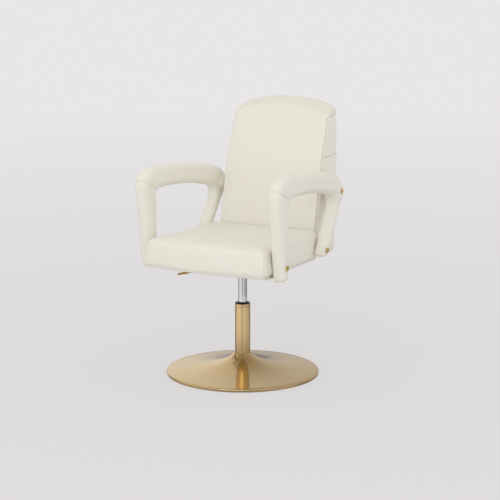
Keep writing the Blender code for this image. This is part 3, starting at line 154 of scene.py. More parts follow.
class CHAIR_PG_arms(PropertyGroup):
    """Padded arm loops, in the arm's own upright plane, with Y from the column's axis"""

    width: length("Width", "Thickness of an arm", 0.046)
    edge: length("Edge", "Rounding of the long edges", 0.0175)
    mesh_size: length("Mesh size", "Spacing of the cloth mesh", 0.0045)
    swell: length("Swell", "Furthest that the cloth moves", 0.0016)
    place_x: length("Place", "Distance of the arm from the middle", 0.2420)
    place_y: length("Turning point", "Y that the arm is toed in about", -0.170)
    toe: turn("Toe-in", "Turn of the arm towards the back", 2.4)
    top: length("Top", "Height of the rail's front end", 0.6875)
    crest_y: length("Crest", "Y where the rail starts to fall", 0.100)
    crest_drop: length("Crest drop", "Fall of the rail's top to the crest", 0.0175)
    rear_y: length("Rear", "Y of the rail's rear corner", 0.216)
    rear_drop: length("Rear drop", "Fall of the rail's top to its rear corner", 0.0470)
    heel_y: length("Heel", "Y of the corner where the rail's rear end turns down into the leg", 0.2545)
    heel_drop: length("Heel drop", "That corner under the top", 0.0915)
    heel_round: length("Heel round", "Radius of that corner", 0.026)
    front_round: length("Front round", "Radius of the upper front corner", 0.066)
    rear_round: length("Rear round", "Radius of the rear corner", 0.040)
    sweep: length("Sweep", "Radius of the rail's gentle bends", 0.260)
    leg_y: length("Front leg", "Y of the front leg's rear edge", -0.161)
    leg_foot: length("Front foot", "Height of the front leg's foot", 0.361)
    leg_foot_width: length("Foot width", "Front leg's width at its foot", 0.037)
    leg_top_width: length("Leg top width", "Front leg's width at the top", 0.084)
    rear_foot_y: length("Rear foot", "Y of the rear leg's front edge at its foot", 0.083)
    rear_foot: length("Rear foot height", "Height of the rear leg's foot", 0.391)
    rear_foot_width: length("Rear foot width", "Width of the rear leg's foot", 0.036)
    toe_run: length("Toe run", "How far a toe's outer end runs into the leg", 0.012)
    toe_mesh: length("Toe mesh", "Spacing of a toe's mesh", 0.0015)
    foot_round: length("Foot round", "Radius of the feet's corners", 0.014)
    loop_front_depth: length("Loop front", "Loop's upper front corner under the top", 0.0655)
    loop_mid_y: length("Loop middle", "Y where the rail's underside starts to fall", 0.020)
    loop_mid_depth: length("Loop middle depth", "Rail's underside there, under the top", 0.075)
    loop_rear_y: length("Loop rear", "Y of the loop's upper rear corner", 0.1985)
    loop_rear_depth: length("Loop rear depth", "That corner under the top", 0.107)
    loop_front_round: length("Loop front round", "Radius of the loop's front corner", 0.012)
    loop_rear_round: length("Loop rear round", "Radius of the loop's rear corner", 0.034)
    fullness: length("Fullness", "How far the stuffing lifts all of the rail's top", 0.0010)
    arch: length("Arch", "How far the stuffing lifts the rail's top about its middle", 0.0042)
    arch_y: length("Arch place", "Y where that lift is greatest", -0.050)
    arch_reach: length("Arch reach", "How far that lift spreads", 0.075)
    shoulder: length("Shoulder", "How far the stuffing lifts the rail's top over its rear bend", 0.0016)
    shoulder_y: length("Shoulder place", "Y where that lift is greatest", 0.165)
    shoulder_reach: length("Shoulder reach", "How far that lift spreads", 0.040)
    sag: length("Sag", "How far the rail's underside hangs ahead of its bend", 0.0020)
    sag_y: length("Sag end", "Y where the underside hangs no more", 0.080)
    corner_drop: length("Corner drop", "Fall of the rail's underside at the loop's front corner", 0.0109)
    corner_reach: length("Corner reach", "How far that fall spreads", 0.035)
    strip: length("Strip", "Seam of the front strip, in from the arm's side", 0.0055)
    boss: length("Boss", "How far the stuffing reaches over the spacer to the back", 0.0115)
    boss_reach: length("Boss reach", "Radius of that stuffing", 0.020)
    mitre_rise: length("Mitre rise", "Height of the mitre seam on the front edge", 0.656)
    fold_front: length("Fold front", "Height of the fold over the rear leg, at the leg's front", 0.574)
    fold_rear: length("Fold rear", "Height of that fold at the leg's rear", 0.563)
    fold_depth: length("Fold depth", "Depth of that fold", 0.0009)


class CHAIR_PG_metal(PropertyGroup):
    """Gold, chrome and black metalwork"""

    gold: colour("Gold", "Plated and brushed steel", "D6BB8A")
    bolt_gold: colour("Bolt gold", "Warmer plating of the arm bolts", "D2B678")
    dark_gold: colour("Dark gold", "Older, darker plating of the lever", "A9853F")
    chrome: colour("Chrome", "Polished tube of the gas spring", "D3D3D3")
    base_steps: count("Steps round the base", "Facets of the turned disc", 192)
    tube_steps: count("Steps round a tube", "Facets of the turned tubes", 96)
    sheet: length("Sheet", "Thickness of the base's sheet", 0.0015)
    rim_height: length("Rim height", "Height of the base's rim", 0.0105)
    rim_round: length("Rim round", "Rounding of the rim's upper edge", 0.0035)
    flare_power: number("Flare", "How steeply the disc climbs by the column", 0.15)
    lever_droop: turn("Lever droop", "Extra downward bend of the lever's paddle", 1.8)
    bolt_facets: count("Bolt facets", "Facets round a bolt head", 48)
    socket_width: length("Socket", "Hex socket of the arm bolts, across its corners", 0.0062)


class CHAIR_PG_stage(PropertyGroup):
    """Floor, light and camera"""

    near_floor: colour("Near floor", "Floor round the chair, as the camera sees it", "DFDCDD")
    far_floor: colour("Far floor", "Floor and air behind the chair, as the camera sees them", "E9E6E7")
    fill: number("Fill", "Strength of the even light from all round", 0.96)
    key_power: number("Key", "Power of the big lamp", 22, "POWER")
    gloss: number("Gloss", "Brightness of the studio as the metal shows it", 1.09)
    skirting: number("Skirting", "Share of the walls' light low down", 0.68)
    far_contrast: number("Far contrast", "How far apart the walls' tones lie further out", 2.2)
    dim_side: turn("Dim side", "Side of the studio with the dim floor, round the column", 30.59)
    bolt_light: number("Bolt light", "Brightness that the bolts' faces show", 1.4)
    camera_turn: turn("Camera turn", "Camera's place round the column from straight ahead", 30.59)
    camera_distance: length("Camera distance", "Camera to the column's axis", 4.77)
    camera_height: length("Camera height", "Camera over the floor", 1.3077)
    camera_yaw: turn("Camera yaw", "Turn of the view away from the column", -0.29)
    camera_pitch: turn("Camera pitch", "Downward tilt of the view", 10.67)
    focal: number("Focal length", "Focal length on a 36 mm frame", 107.46, "CAMERA")


class CHAIR_PG_settings(PropertyGroup):
    """All settings of the chair"""

    upholstery: PointerProperty(type=CHAIR_PG_upholstery)
    seat: PointerProperty(type=CHAIR_PG_seat)
    back: PointerProperty(type=CHAIR_PG_back)
    arms: PointerProperty(type=CHAIR_PG_arms)
    metal: PointerProperty(type=CHAIR_PG_metal)
    stage: PointerProperty(type=CHAIR_PG_stage)


def chair():
    """The scene's settings."""
    return bpy.context.scene.manicure_chair


# Materials

def add_node(tree, kind, inputs=None, give=0, **settings):
    """New node with its settings, values and links. Returns the output that give names, or else the node."""
    node = tree.nodes.new(kind)
    for name, value in settings.items():
        setattr(node, name, value)
    for socket, value in (inputs or {}).items():
        if isinstance(value, bpy.types.NodeSocket):
            tree.links.new(value, node.inputs[socket])
        else:
            node.inputs[socket].default_value = value
    return node if give is None else node.outputs[give]


def new_material(name):
    """Empty node material, the function that adds its nodes and the Object coordinates for its patterns."""
    material = bpy.data.materials.new(name)
    material.use_nodes = True
    material.node_tree.nodes.clear()
    add = partial(add_node, material.node_tree)
    return material, add, add("ShaderNodeTexCoord", give="Object")


def close_material(add, **values):
    """Principled shader with these socket values, joined to the output."""
    inputs = {name.replace("_", " "): value for name, value in values.items()}
    shader = add("ShaderNodeBsdfPrincipled", inputs)
    add("ShaderNodeOutputMaterial", {"Surface": shader}, give=None)


def per_metre(size):
    """Texture scale that repeats a pattern at this size in metres."""
    return 1 / size


def stretched(*sizes):
    """Texture scales that repeat a pattern at these sizes along X, Y and Z."""
    return tuple(per_metre(size) for size in sizes)


# Share of the seam shade, painted shade of a hollow, that shows down in a seam
SEAM_DARKNESS = 0.55


def coated_fabric():
    """Embossed leathercloth: a thin satin coat, broad soft highlights and a fine pebbled grain."""
    look = chair().upholstery
    material, add, coords = new_material("coated_fabric")
    patches = add("ShaderNodeTexNoise", {"Vector": coords, "Scale": per_metre(0.120), "Detail": 2.0})
    cream = add("ShaderNodeMix", {0: patches, 6: look.cream, 7: look.warm_cream}, 2, data_type="RGBA")
    # Painted shade: the seam attribute darkens the cloth towards the seam shade in sewn lines, creases and
    # the back's top band
    seam = add("ShaderNodeAttribute", give="Fac", attribute_name="seam")
    shade = add("ShaderNodeMath", {0: seam, 1: SEAM_DARKNESS}, operation="MULTIPLY", use_clamp=True)
    tone = add("ShaderNodeMix", {0: shade, 6: cream, 7: look.seam_shade}, 2, data_type="RGBA")
    rough = add("ShaderNodeMapRange", {"Value": patches, "To Min": 0.44, "To Max": 0.56})
    # Real grain is nearer 1 mm; it is drawn at twice that so that it shows in a close view
    pebbles = add("ShaderNodeTexVoronoi", {"Vector": coords, "Scale": per_metre(look.grain)})
    ripples = add("ShaderNodeTexNoise", {"Vector": coords, "Scale": per_metre(0.030), "Detail": 3.0})
    soft = add("ShaderNodeBump", {"Height": ripples, "Strength": 0.30, "Distance": 0.0016})
    grain = {"Height": pebbles, "Strength": 0.16, "Distance": 0.0004, "Normal": soft}
    normal = add("ShaderNodeBump", grain, invert=True)
    close_material(add, Base_Color=tone, Roughness=rough, Normal=normal)
    return material


def close_gold(add, coords, tint, lines, rough, bump, cloud, dark):
    """Plated steel over fine lines: they vary its roughness, and clouds of a size vary its tone."""
    low, high = rough
    spread = {"Value": lines, "From Min": 0.3, "From Max": 0.7, "To Min": low, "To Max": high}
    clouds = add("ShaderNodeTexNoise", {"Vector": coords, "Scale": per_metre(cloud), "Detail": 2.0})
    deep = [channel * dark for channel in tint[:3]] + [1.0]
    close_material(
        add,
        Base_Color=add("ShaderNodeMix", {0: clouds, 6: deep, 7: tint}, 2, data_type="RGBA"),
        Metallic=1.0,
        Roughness=add("ShaderNodeMapRange", spread),
        Normal=add("ShaderNodeBump", {"Height": lines, "Strength": bump, "Distance": 0.0002}),
    )


def gold_material(name, tint, sizes, rough):
    """Plated steel, finished with lines that run one way: sizes are the pattern's, along X, Y and Z."""
    material, add, coords = new_material(name)
    along = add("ShaderNodeMapping", {"Vector": coords, "Scale": stretched(*sizes)})
    streaks = add("ShaderNodeTexNoise", {"Vector": along, "Scale": 1.0, "Detail": 3.0})
    close_gold(add, coords, tint, streaks, rough, bump=0.06, cloud=0.060, dark=0.90)
    return material


def drawn_gold():
    """Plated tube, polished lengthwise: upright streaks in soft reflections."""
    return gold_material("drawn_gold", chair().metal.gold, (0.0014286, 0.0014286, 0.125), (0.11, 0.16))


def plated_gold():
    """Small plated fasteners: bright, with faint handling marks."""
    return gold_material("plated_gold", chair().metal.bolt_gold, (0.0033333,) * 3, (0.18, 0.30))


def lever_gold():
    """Pressed lever with darker plating, brushed along its length."""
    sizes = (0.0333333, 0.0011111, 0.0011111)
    return gold_material("lever_gold", chair().metal.dark_gold, sizes, (0.28, 0.40))


def spun_gold():
    """Spun disc: faint rings round the column that smear its reflections."""
    material, add, coords = new_material("spun_gold")
    flat = add("ShaderNodeMapping", {"Vector": coords, "Location": (0, -COLUMN_Y, 0), "Scale": (1, 1, 0)})
    radius = add("ShaderNodeVectorMath", {0: flat}, "Value", operation="LENGTH")
    ring = add("ShaderNodeMath", {0: radius, 1: per_metre(0.0012)}, operation="MULTIPLY")
    rings = add("ShaderNodeTexNoise", {"W": ring, "Scale": 1.0, "Detail": 3.0}, noise_dimensions="1D")
    close_gold(add, coords, chair().metal.gold, rings, (0.10, 0.15), bump=0.02, cloud=0.140, dark=0.92)
    return material


def speckled(name, dark, light, size, rough, metallic=0.0, bump=0.1, detail=3.0, shine=0.5, spread=0.06):
    """Plain finish with a fine speckle of two tones, for pieces seen only from below or inside."""
    material, add, coords = new_material(name)
    specks = add("ShaderNodeTexNoise", {"Vector": coords, "Scale": per_metre(size), "Detail": detail})
    tones = {0: specks, 6: linear(dark), 7: linear(light)}
    shine_range = {"Value": specks, "To Min": rough - spread, "To Max": rough + spread}
    close_material(
        add,
        Base_Color=add("ShaderNodeMix", tones, 2, data_type="RGBA"),
        Metallic=metallic,
        Roughness=add("ShaderNodeMapRange", shine_range),
        Normal=add("ShaderNodeBump", {"Height": specks, "Strength": bump, "Distance": size}),
        Specular_IOR_Level=shine,
    )
    return material


def polished_chrome():
    """Hard chrome on a ground tube: clear reflections with the faintest rings."""
    material, add, coords = new_material("polished_chrome")
    rings = add("ShaderNodeMapping", {"Vector": coords, "Scale": stretched(0.5, 0.5, 0.0011111)})
    lines = add("ShaderNodeTexNoise", {"Vector": rings, "Scale": 1.0})
    rough = add("ShaderNodeMapRange", {"Value": lines, "To Min": 0.05, "To Max": 0.09})
    close_material(add, Base_Color=chair().metal.chrome, Metallic=1.0, Roughness=rough)
    return material


def moulded_plastic():
    """Moulded black nylon: a satin skin with a slight orange peel."""
    return speckled("moulded_plastic", "070708", "0E0E10", 0.0016, 0.26, bump=0.05, shine=0.3)


def powder_coat():
    """Black powder-coated steel: fine orange peel and a dull shine."""
    return speckled("powder_coat", "141416", "1F1F22", 0.0012, 0.48, bump=0.12)


def zinc_steel():
    """Zinc-plated steel: grey with a faint mottle."""
    return speckled("zinc_steel", "85888C", "A3A6AA", 0.0040, 0.36, metallic=1.0, bump=0.04)


def moulded_rubber():
    """Moulded rubber: matt, nearly black."""
    return speckled("moulded_rubber", "161616", "242424", 0.0008, 0.80, bump=0.15)


def spunbond_felt():
    """Black spunbond dust cloth: matt, with a fibrous surface."""
    return speckled("spunbond_felt", "17171A", "2C2C30", 0.0020, 0.92, bump=0.30, detail=6.0)


def birch_plywood():
    """Birch plywood: pale faces with long grain."""
    material, add, coords = new_material("birch_plywood")
    grain = add("ShaderNodeMapping", {"Vector": coords, "Scale": stretched(0.1111111, 0.00625, 0.00625)})
    fibres = add("ShaderNodeTexNoise", {"Vector": grain, "Scale": 1.0, "Detail": 5.0})
    tones = {0: fibres, 6: linear("B08A5C"), 7: linear("DBBD91")}
    shade = add("ShaderNodeMix", tones, 2, data_type="RGBA")
    normal = add("ShaderNodeBump", {"Height": fibres, "Strength": 0.12, "Distance": 0.0004})
    close_material(add, Base_Color=shade, Roughness=0.66, Normal=normal)
    return material


def finish(maker):
    """A finish's material, made the first time that it is asked for."""
    return bpy.data.materials.get(maker.__name__) or maker()


# Shared modelling

def add_object(name, data):
    """New object in the scene, at the origin."""
    obj = bpy.data.objects.new(name, data)
    bpy.context.scene.collection.objects.link(obj)
    return obj


def link_piece(name, mesh, maker):
    """New object with one finish."""
    mesh.materials.clear()
    mesh.materials.append(finish(maker))
    return add_object(name, mesh)


def stand_for(obj, *nodes):
    """Makes a piece stand for its CAD nodes: it goes on their body, and they are hidden."""
    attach(obj, BODIES[nodes[0]])
    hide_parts(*nodes)


# Angles in degrees past which an edge of the metalwork, and of a bolt, stays sharp
METAL_SHARP, BOLT_SHARP = 35, 30
# Distances in metres under which points of a CAD mesh, and of a turned one, are one
CAD_MERGE, TURNED_MERGE = 1e-5, 1e-6


def to_mesh(bm, name, sharp=None):
    """Mesh of a finished bmesh, smooth up to the sharp angle."""
    mesh = bpy.data.meshes.new(name)
    bm.to_mesh(mesh)
    bm.free()
    mesh.shade_smooth()
    if sharp is not None:
        mesh.set_sharp_from_angle(angle=math.radians(sharp))
    return mesh


def bake(obj):
    """Replaces an object's mesh with what its modifiers make of it."""
    graph = bpy.context.evaluated_depsgraph_get()
    made = bpy.data.meshes.new_from_object(obj.evaluated_get(graph))
    made.name = obj.name
    old = obj.data
    obj.modifiers.clear()
    obj.data = made
    bpy.data.meshes.remove(old)
    made.shade_smooth()


def hull_of(node):
    """Closed outer form of a CAD solid, without the rooms cut into it."""
    bm = bmesh.new()
    for vertex in frame["nodes"][node].data.vertices:
        bm.verts.new(vertex.co)
    bmesh.ops.remove_doubles(bm, verts=bm.verts, dist=CAD_MERGE)
    made = bmesh.ops.convex_hull(bm, input=bm.verts)
    inside = {v for v in made["geom_interior"] + made["geom_unused"] if isinstance(v, bmesh.types.BMVert)}
    bmesh.ops.delete(bm, geom=list(inside), context="VERTS")
    bmesh.ops.recalc_face_normals(bm, faces=bm.faces)
    return bm


def padded_piece(name, bm, mesh_size):
    """Upholstered piece with an even cloth mesh over a closed form."""
    obj = link_piece(name, to_mesh(bm, name), coated_fabric)
    even = obj.modifiers.new("Even mesh", "REMESH")
    even.mode = "VOXEL"
    even.voxel_size = mesh_size
    bake(obj)
    return obj


def ease(obj, rounds):
    """Smooths away the steps that an even mesh leaves on slopes."""
    axes = {f"use_axis_{axis}": True for axis in "xyz"}
    bm = bmesh.new()
    bm.from_mesh(obj.data)
    for _ in range(rounds):
        bmesh.ops.smooth_vert(bm, verts=bm.verts, factor=0.5, **axes)
    bm.to_mesh(obj.data)
    bm.free()


def points(obj):
    """Array of a mesh's vertices."""
    values = np.empty(len(obj.data.vertices) * 3)
    obj.data.vertices.foreach_get("co", values)
    return values.reshape(-1, 3)


def normals(obj):
    """Array of a mesh's vertex normals."""
    values = np.empty(len(obj.data.vertices) * 3)
    obj.data.vertex_normals.foreach_get("vector", values)
    return values.reshape(-1, 3)


def move_points(obj, places):
    """Puts a mesh's vertices at these places."""
    obj.data.vertices.foreach_set("co", np.ascontiguousarray(places).ravel())
    obj.data.update()


def swell(obj, held, limits):
    """Blows a padded piece up as cloth, no further than limits along X, Y and Z. Held vertices stay fixed."""
    look = chair().upholstery
    scene = bpy.context.scene
    start = points(obj)
    group = obj.vertex_groups.new(name="held")
    group.add([int(k) for k in np.flatnonzero(held)], 1.0, "REPLACE")
    cloth = obj.modifiers.new("Stuffing", "CLOTH")
    cloth.settings.vertex_group_mass = group.name
    cloth.settings.use_pressure = True
    cloth.settings.uniform_pressure_force = look.pressure
    cloth.settings.effector_weights.gravity = 0
    cloth.collision_settings.use_collision = False
    cloth.point_cache.frame_end = look.frames
    for step in range(1, look.frames + 1):
        scene.frame_set(step)
    graph = bpy.context.evaluated_depsgraph_get()
    moved = points(obj.evaluated_get(graph))
    obj.modifiers.clear()
    obj.vertex_groups.clear()
    scene.frame_set(1)
    shift = np.clip(moved - start, -np.array(limits), np.array(limits))
    # Foam behind the cloth keeps tight edges from drawing in far
    inwards = (shift * normals(obj)).sum(axis=1) < 0
    shift[inwards] *= look.give
    move_points(obj, start + shift)


def refine(obj):
    """One subdivision, so that seams have vertices to sink."""
    finer = obj.modifiers.new("Finer", "SUBSURF")
    finer.levels = 1
    finer.render_levels = 1
    bake(obj)
    obj.data.attributes.new("seam", "FLOAT", "POINT")


def darken(obj, amount):
    """Shades the cloth by this share at each vertex, where it isn't darker already."""
    layer = obj.data.attributes["seam"].data
    known = np.empty(len(amount), dtype=np.float32)
    layer.foreach_get("value", known)
    layer.foreach_set("value", np.maximum(known, amount).astype(np.float32))


# Lips beside a seam: their height in depths of the seam, and their place and width in its widths
LIP_HEIGHT, LIP_PLACE, LIP_WIDTH = 0.30, 2.4, 1.2
# Puckers along a seam, each with its length in metres, its share and its start, then their height and reach
PUCKERS = ((0.017, 1.0, 0.0), (0.0113, 0.6, 1.0))
PUCKER_HEIGHT, PUCKER_REACH = 0.16, 3.2
# Width of a seam's painted line of shade in widths of the seam
DARK_WIDTH = 0.55


def press_seam(obj, gap, reach, depth=1.0, width=1.0, shade=1.0, along=None):
    """Sinks a sewn line where gap, each vertex's distance from it, is small, with raised cloth beside it.

    Reach is a weight that ends the line. Depth and width are shares of the upholstery's, shade is how dark
    the painted shade in the line's hollow shows, and along is the distance down the line, for the puckers
    beside it.
    """
    depth, width = depth * chair().upholstery.seam_depth, width * chair().upholstery.seam_width
    line = np.exp(-((gap / width) ** 2))
    lips = LIP_HEIGHT * np.exp(-(((np.abs(gap) - LIP_PLACE * width) / (LIP_WIDTH * width)) ** 2))
    shift = reach * depth * (lips - line)
    if along is not None:
        waves = sum(share * np.sin(2 * np.pi * along / run + start) for run, share, start in PUCKERS)
        shift = shift + reach * PUCKER_HEIGHT * depth * waves * np.exp(-np.abs(gap) / (PUCKER_REACH * width))
    move_points(obj, points(obj) + shift[:, None] * normals(obj))
    # Painted shade along the line's hollow
    darken(obj, shade * reach * np.exp(-((gap / (DARK_WIDTH * width)) ** 2)))


def fade(values, start, end):
    """Smooth weight from 0 at start to 1 at end."""
    share = np.clip((values - start) / (end - start), 0, 1)
    return share * share * (3 - 2 * share)


def turned(name, profile, steps, maker):
    """Piece turned about the column's axis from a closed profile of radius and height."""
    bm = bmesh.new()
    ring = [bm.verts.new((radius, COLUMN_Y, height)) for radius, height in profile]
    edges = [bm.edges.new((ring[k - 1], ring[k])) for k in range(len(ring))]
    bmesh.ops.spin(
        bm,
        geom=ring + edges,
        cent=(0, COLUMN_Y, 0),
        axis=(0, 0, 1),
        angle=2 * math.pi,
        steps=steps,
        use_merge=True,
    )
    bmesh.ops.remove_doubles(bm, verts=bm.verts, dist=TURNED_MERGE)
    bmesh.ops.recalc_face_normals(bm, faces=bm.faces)
    return link_piece(name, to_mesh(bm, name, METAL_SHARP), maker)


def arc(centre, radius, start, end, steps):
    """Points of an arc in a profile, with angles in degrees."""
    angles = [math.radians(start + (end - start) * k / steps) for k in range(steps + 1)]
    return [(centre[0] + radius * math.cos(a), centre[1] + radius * math.sin(a)) for a in angles]


def widest(node):
    """Largest distance of a CAD node's points from the column's axis."""
    return max(math.hypot(v.co.x, v.co.y - COLUMN_Y) for v in frame["nodes"][node].data.vertices)


# Padded pieces

# Runs in metres over which seams fade out: at a crossing seam, beside the seat's corners and under its crown
SEAM_FADE, CORNER_FADE, CROWN_FADE = (-0.002, 0.004), (-0.004, 0.008), (0.004, 0.016)


def seat_cushion():
    """Crowned cushion with a bowed front, a seam round each front corner and a tucked lower edge."""
    size = chair().seat
    low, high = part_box("seat_cushion")
    obj = padded_piece("seat_cushion_cover", hull_of("seat_cushion"), size.mesh_size)
    ease(obj, 2)
    held = points(obj)[:, 2] < low.z + 2 * size.mesh_size
    swell(obj, held, (size.side_swell, size.side_swell, size.swell))
    refine(obj)
    # The seams and the tuck below sink into the cloth and get painted shade in their hollows
    place = points(obj)
    # Seams round the front corners stand on a line out of the middle of each corner's arc
    centre_x, centre_y = high.x - size.corner, low.y + size.bow + size.corner
    for side, _ in SIDES:
        off_x, off_y = side * place[:, 0] - centre_x, place[:, 1] - centre_y
        gap = off_x * math.cos(size.corner_turn) + off_y * math.sin(size.corner_turn)
        near = fade(off_x, *CORNER_FADE) * fade(-off_y, *CORNER_FADE)
        near = near * fade(high.z - place[:, 2], *CROWN_FADE)
        press_seam(obj, gap, near, depth=0.35, width=0.8, shade=0.5)
    place, facing = points(obj), normals(obj)
    sides = fade(np.hypot(facing[:, 0], facing[:, 1]), 0.5, 0.8)
    press_seam(obj, place[:, 2] - low.z - size.tuck_height, sides, depth=0.4, shade=0.2)
    # The underside is pulled flat over the board
    place = points(obj)
    place[:, 2] = np.where(place[:, 2] < low.z + size.flat, low.z, place[:, 2])
    move_points(obj, place)
    stand_for(obj, "seat_cushion")


def back_cushion():
    """Leaning back with a rolled top, side panels sewn in and a recess for the rear panel."""
    size = chair().back
    low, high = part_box("back_cushion")
    obj = padded_piece("back_cushion_cover", hull_of("back_cushion"), size.mesh_size)
    ease(obj, 2)
    place, facing = points(obj), normals(obj)
    held = (place[:, 2] < low.z + 2 * size.mesh_size) | (facing[:, 1] > 0.7)
    swell(obj, held, (0.5 * size.swell, size.swell, size.swell))
    refine(obj)
    place, facing = points(obj), normals(obj)
    panel_low, panel_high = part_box("back_panel")
    middle, half = (panel_low + panel_high) / 2, (panel_high - panel_low) / 2
    inside = np.minimum(half.x - np.abs(place[:, 0] - middle.x), half.z - np.abs(place[:, 2] - middle.z))
    sunk = size.panel_recess * fade(inside, -0.5 * size.panel_edge, 0.5 * size.panel_edge)
    place[:, 1] -= np.where(facing[:, 1] > 0.5, sunk, 0)
    move_points(obj, place)

    # The side panel's seams below get painted shade in their hollows
    # Front edge of each side panel, found from the foremost point at each height
    place, facing = points(obj), normals(obj)
    front = front_line(place)
    on_side = fade(np.abs(facing[:, 0]), 0.35, 0.75)
    boxing = high.z - size.boxing_drop
    below = fade(boxing - place[:, 2], *SEAM_FADE)
    gap = place[:, 1] - front(place[:, 2]) - size.seam_set
    press_seam(obj, gap, on_side * below, along=place[:, 2])
    share = np.clip(gap / (high.y - front(place[:, 2])), 0, 1)
    behind = fade(gap, *SEAM_FADE)
    press_seam(obj, place[:, 2] - boxing - size.boxing_rise * share, on_side * behind)
    cross = place[:, 2] - size.cross_height - size.cross_rise * share**2
    press_seam(obj, cross, on_side * behind, depth=0.8)
    roll = place[:, 2] - high.z + size.roll_drop + size.roll_bend * place[:, 0] ** 2
    ahead = fade(-facing[:, 1], 0.25, 0.60)
    press_seam(obj, roll, ahead, depth=0.5, width=3.0, shade=0.0)
    # Over the crease the top slopes up to its rear edge, which stays where it is
    place = points(obj)
    shift = size.roll_back * np.clip(roll / size.roll_drop, 0, 1)
    ahead = np.clip((high.y - place[:, 1]) / (high.y - front(place[:, 2])), 0, 1)
    place[:, 1] += shift * ahead
    move_points(obj, place)
    # Painted shade: the top band over the crease is darkened, standing in for the dimmer light on its upward
    # face
    darken(obj, size.roll_tone * fade(roll, 0.0, size.roll_fade) * fade(0.8 - facing[:, 1], 0.0, 0.4))
    stand_for(obj, "back_cushion")


# Heights at which the back's front edge is looked for, and the share of its half-width past which that is
FRONT_LEVELS, FRONT_SIDES = 60, 0.90


def front_line(place):
    """Function that gives the foremost Y of a padded piece at a height."""
    levels = np.linspace(place[:, 2].min(), place[:, 2].max(), FRONT_LEVELS)
    step = levels[1] - levels[0]
    sides = np.abs(place[:, 0]) > FRONT_SIDES * np.abs(place[:, 0]).max()
    band = [place[sides & (np.abs(place[:, 2] - level) < step), 1] for level in levels]
    known = [k for k, values in enumerate(band) if len(values)]
    return lambda z: np.interp(z, levels[known], [band[k].min() for k in known])


def back_panel():
    """Rear panel of the back, a thin pad in its recess."""
    size = chair().back
    obj = padded_piece("back_panel_cover", hull_of("back_panel"), 0.6 * size.mesh_size)
    ease(obj, 2)
    swell(obj, normals(obj)[:, 1] < 0.3, (0.0, size.swell, 0.0))
    stand_for(obj, "back_panel")


def arm_corners(size):
    """Corners of an arm's side view and their radii."""
    top, leg = size.top, size.leg_y
    return [
        (leg - size.leg_foot_width, size.leg_foot, size.foot_round),
        (leg - size.leg_top_width, top, size.front_round),
        (size.crest_y, top - size.crest_drop, size.sweep),
        (size.rear_y, top - size.rear_drop, size.rear_round),
        (size.heel_y, top - size.heel_drop, size.heel_round),
        (size.rear_foot_y + size.rear_foot_width, size.rear_foot, size.foot_round),
        (size.rear_foot_y, size.rear_foot, size.foot_round),
        (size.loop_rear_y, top - size.loop_rear_depth, size.loop_rear_round),
        (size.loop_mid_y, top - size.loop_mid_depth, size.sweep),
        (leg, top - size.loop_front_depth, size.loop_front_round),
        (leg, size.leg_foot, size.foot_round),
    ]


# Cuts in the longest straight part of an arm's outline
RAIL_CUTS = 40
# Fewest facets of a rounded corner in it, and the degrees that each takes
CORNER_FACETS, CORNER_STEP = 4, 6
# How far ahead of the front leg's rear edge a point still counts as the loop's
LOOP_SLACK = 1e-4


def rail_shift(size, y, z):
    """How far stuffing lifts the rail's top, or draws its underside down, at a point of the outline."""
    crest_share = (y - size.leg_y) / (size.crest_y - size.leg_y)
    if z > size.top - (size.loop_front_depth + size.crest_drop * crest_share) / 2:
        arch = size.arch * math.exp(-(((y - size.arch_y) / size.arch_reach) ** 2))
        lift = arch + size.shoulder * math.exp(-(((y - size.shoulder_y) / size.shoulder_reach) ** 2))
        return lift + size.fullness * fade(y, size.leg_y - size.leg_top_width, size.leg_y)
    if z < size.top - size.loop_rear_depth or y < size.leg_y - LOOP_SLACK:
        return 0.0
    hang = size.sag * (1 - fade(y, size.loop_mid_y, size.sag_y))
    return -hang - size.corner_drop * math.exp(-(y - size.leg_y) / size.corner_reach)


def arm_plate(size):
    """Arm loop as a plain plate, upright in its own YZ plane, and the points of its outline."""
    bm = bmesh.new()
    corners = arm_corners(size)
    ring = [bm.verts.new((-size.width / 2, y, z)) for y, z, _ in corners]
    bm.faces.new(ring)
    for k, vertex in enumerate(ring):
        spot = Vector(corners[k][:2])
        before = Vector(corners[k - 1][:2]) - spot
        after = Vector(corners[(k + 1) % len(corners)][:2]) - spot
        bend = math.pi - before.angle(after)
        bmesh.ops.bevel(
            bm,
            geom=[vertex],
            offset=corners[k][2] * math.tan(bend / 2),
            affect="VERTICES",
            segments=max(CORNER_FACETS, round(math.degrees(bend) / CORNER_STEP)),
            profile=0.5,
            material=-1,
        )
    longest = max(edge.calc_length() for edge in bm.edges)
    for edge in list(bm.edges):
        cuts = int(RAIL_CUTS * edge.calc_length() / longest)
        if cuts:
            bmesh.ops.subdivide_edges(bm, edges=[edge], cuts=cuts)
    face = list(bm.faces)[0]
    for vertex in face.verts:
        vertex.co.z += rail_shift(size, vertex.co.y, vertex.co.z)
    outline = np.array([vertex.co[1:] for vertex in face.verts])
    pushed = bmesh.ops.extrude_face_region(bm, geom=[face])
    moved = [v for v in pushed["geom"] if isinstance(v, bmesh.types.BMVert)]
    bmesh.ops.translate(bm, verts=moved, vec=(size.width, 0, 0))
    bmesh.ops.recalc_face_normals(bm, faces=bm.faces)
    return bm, outline


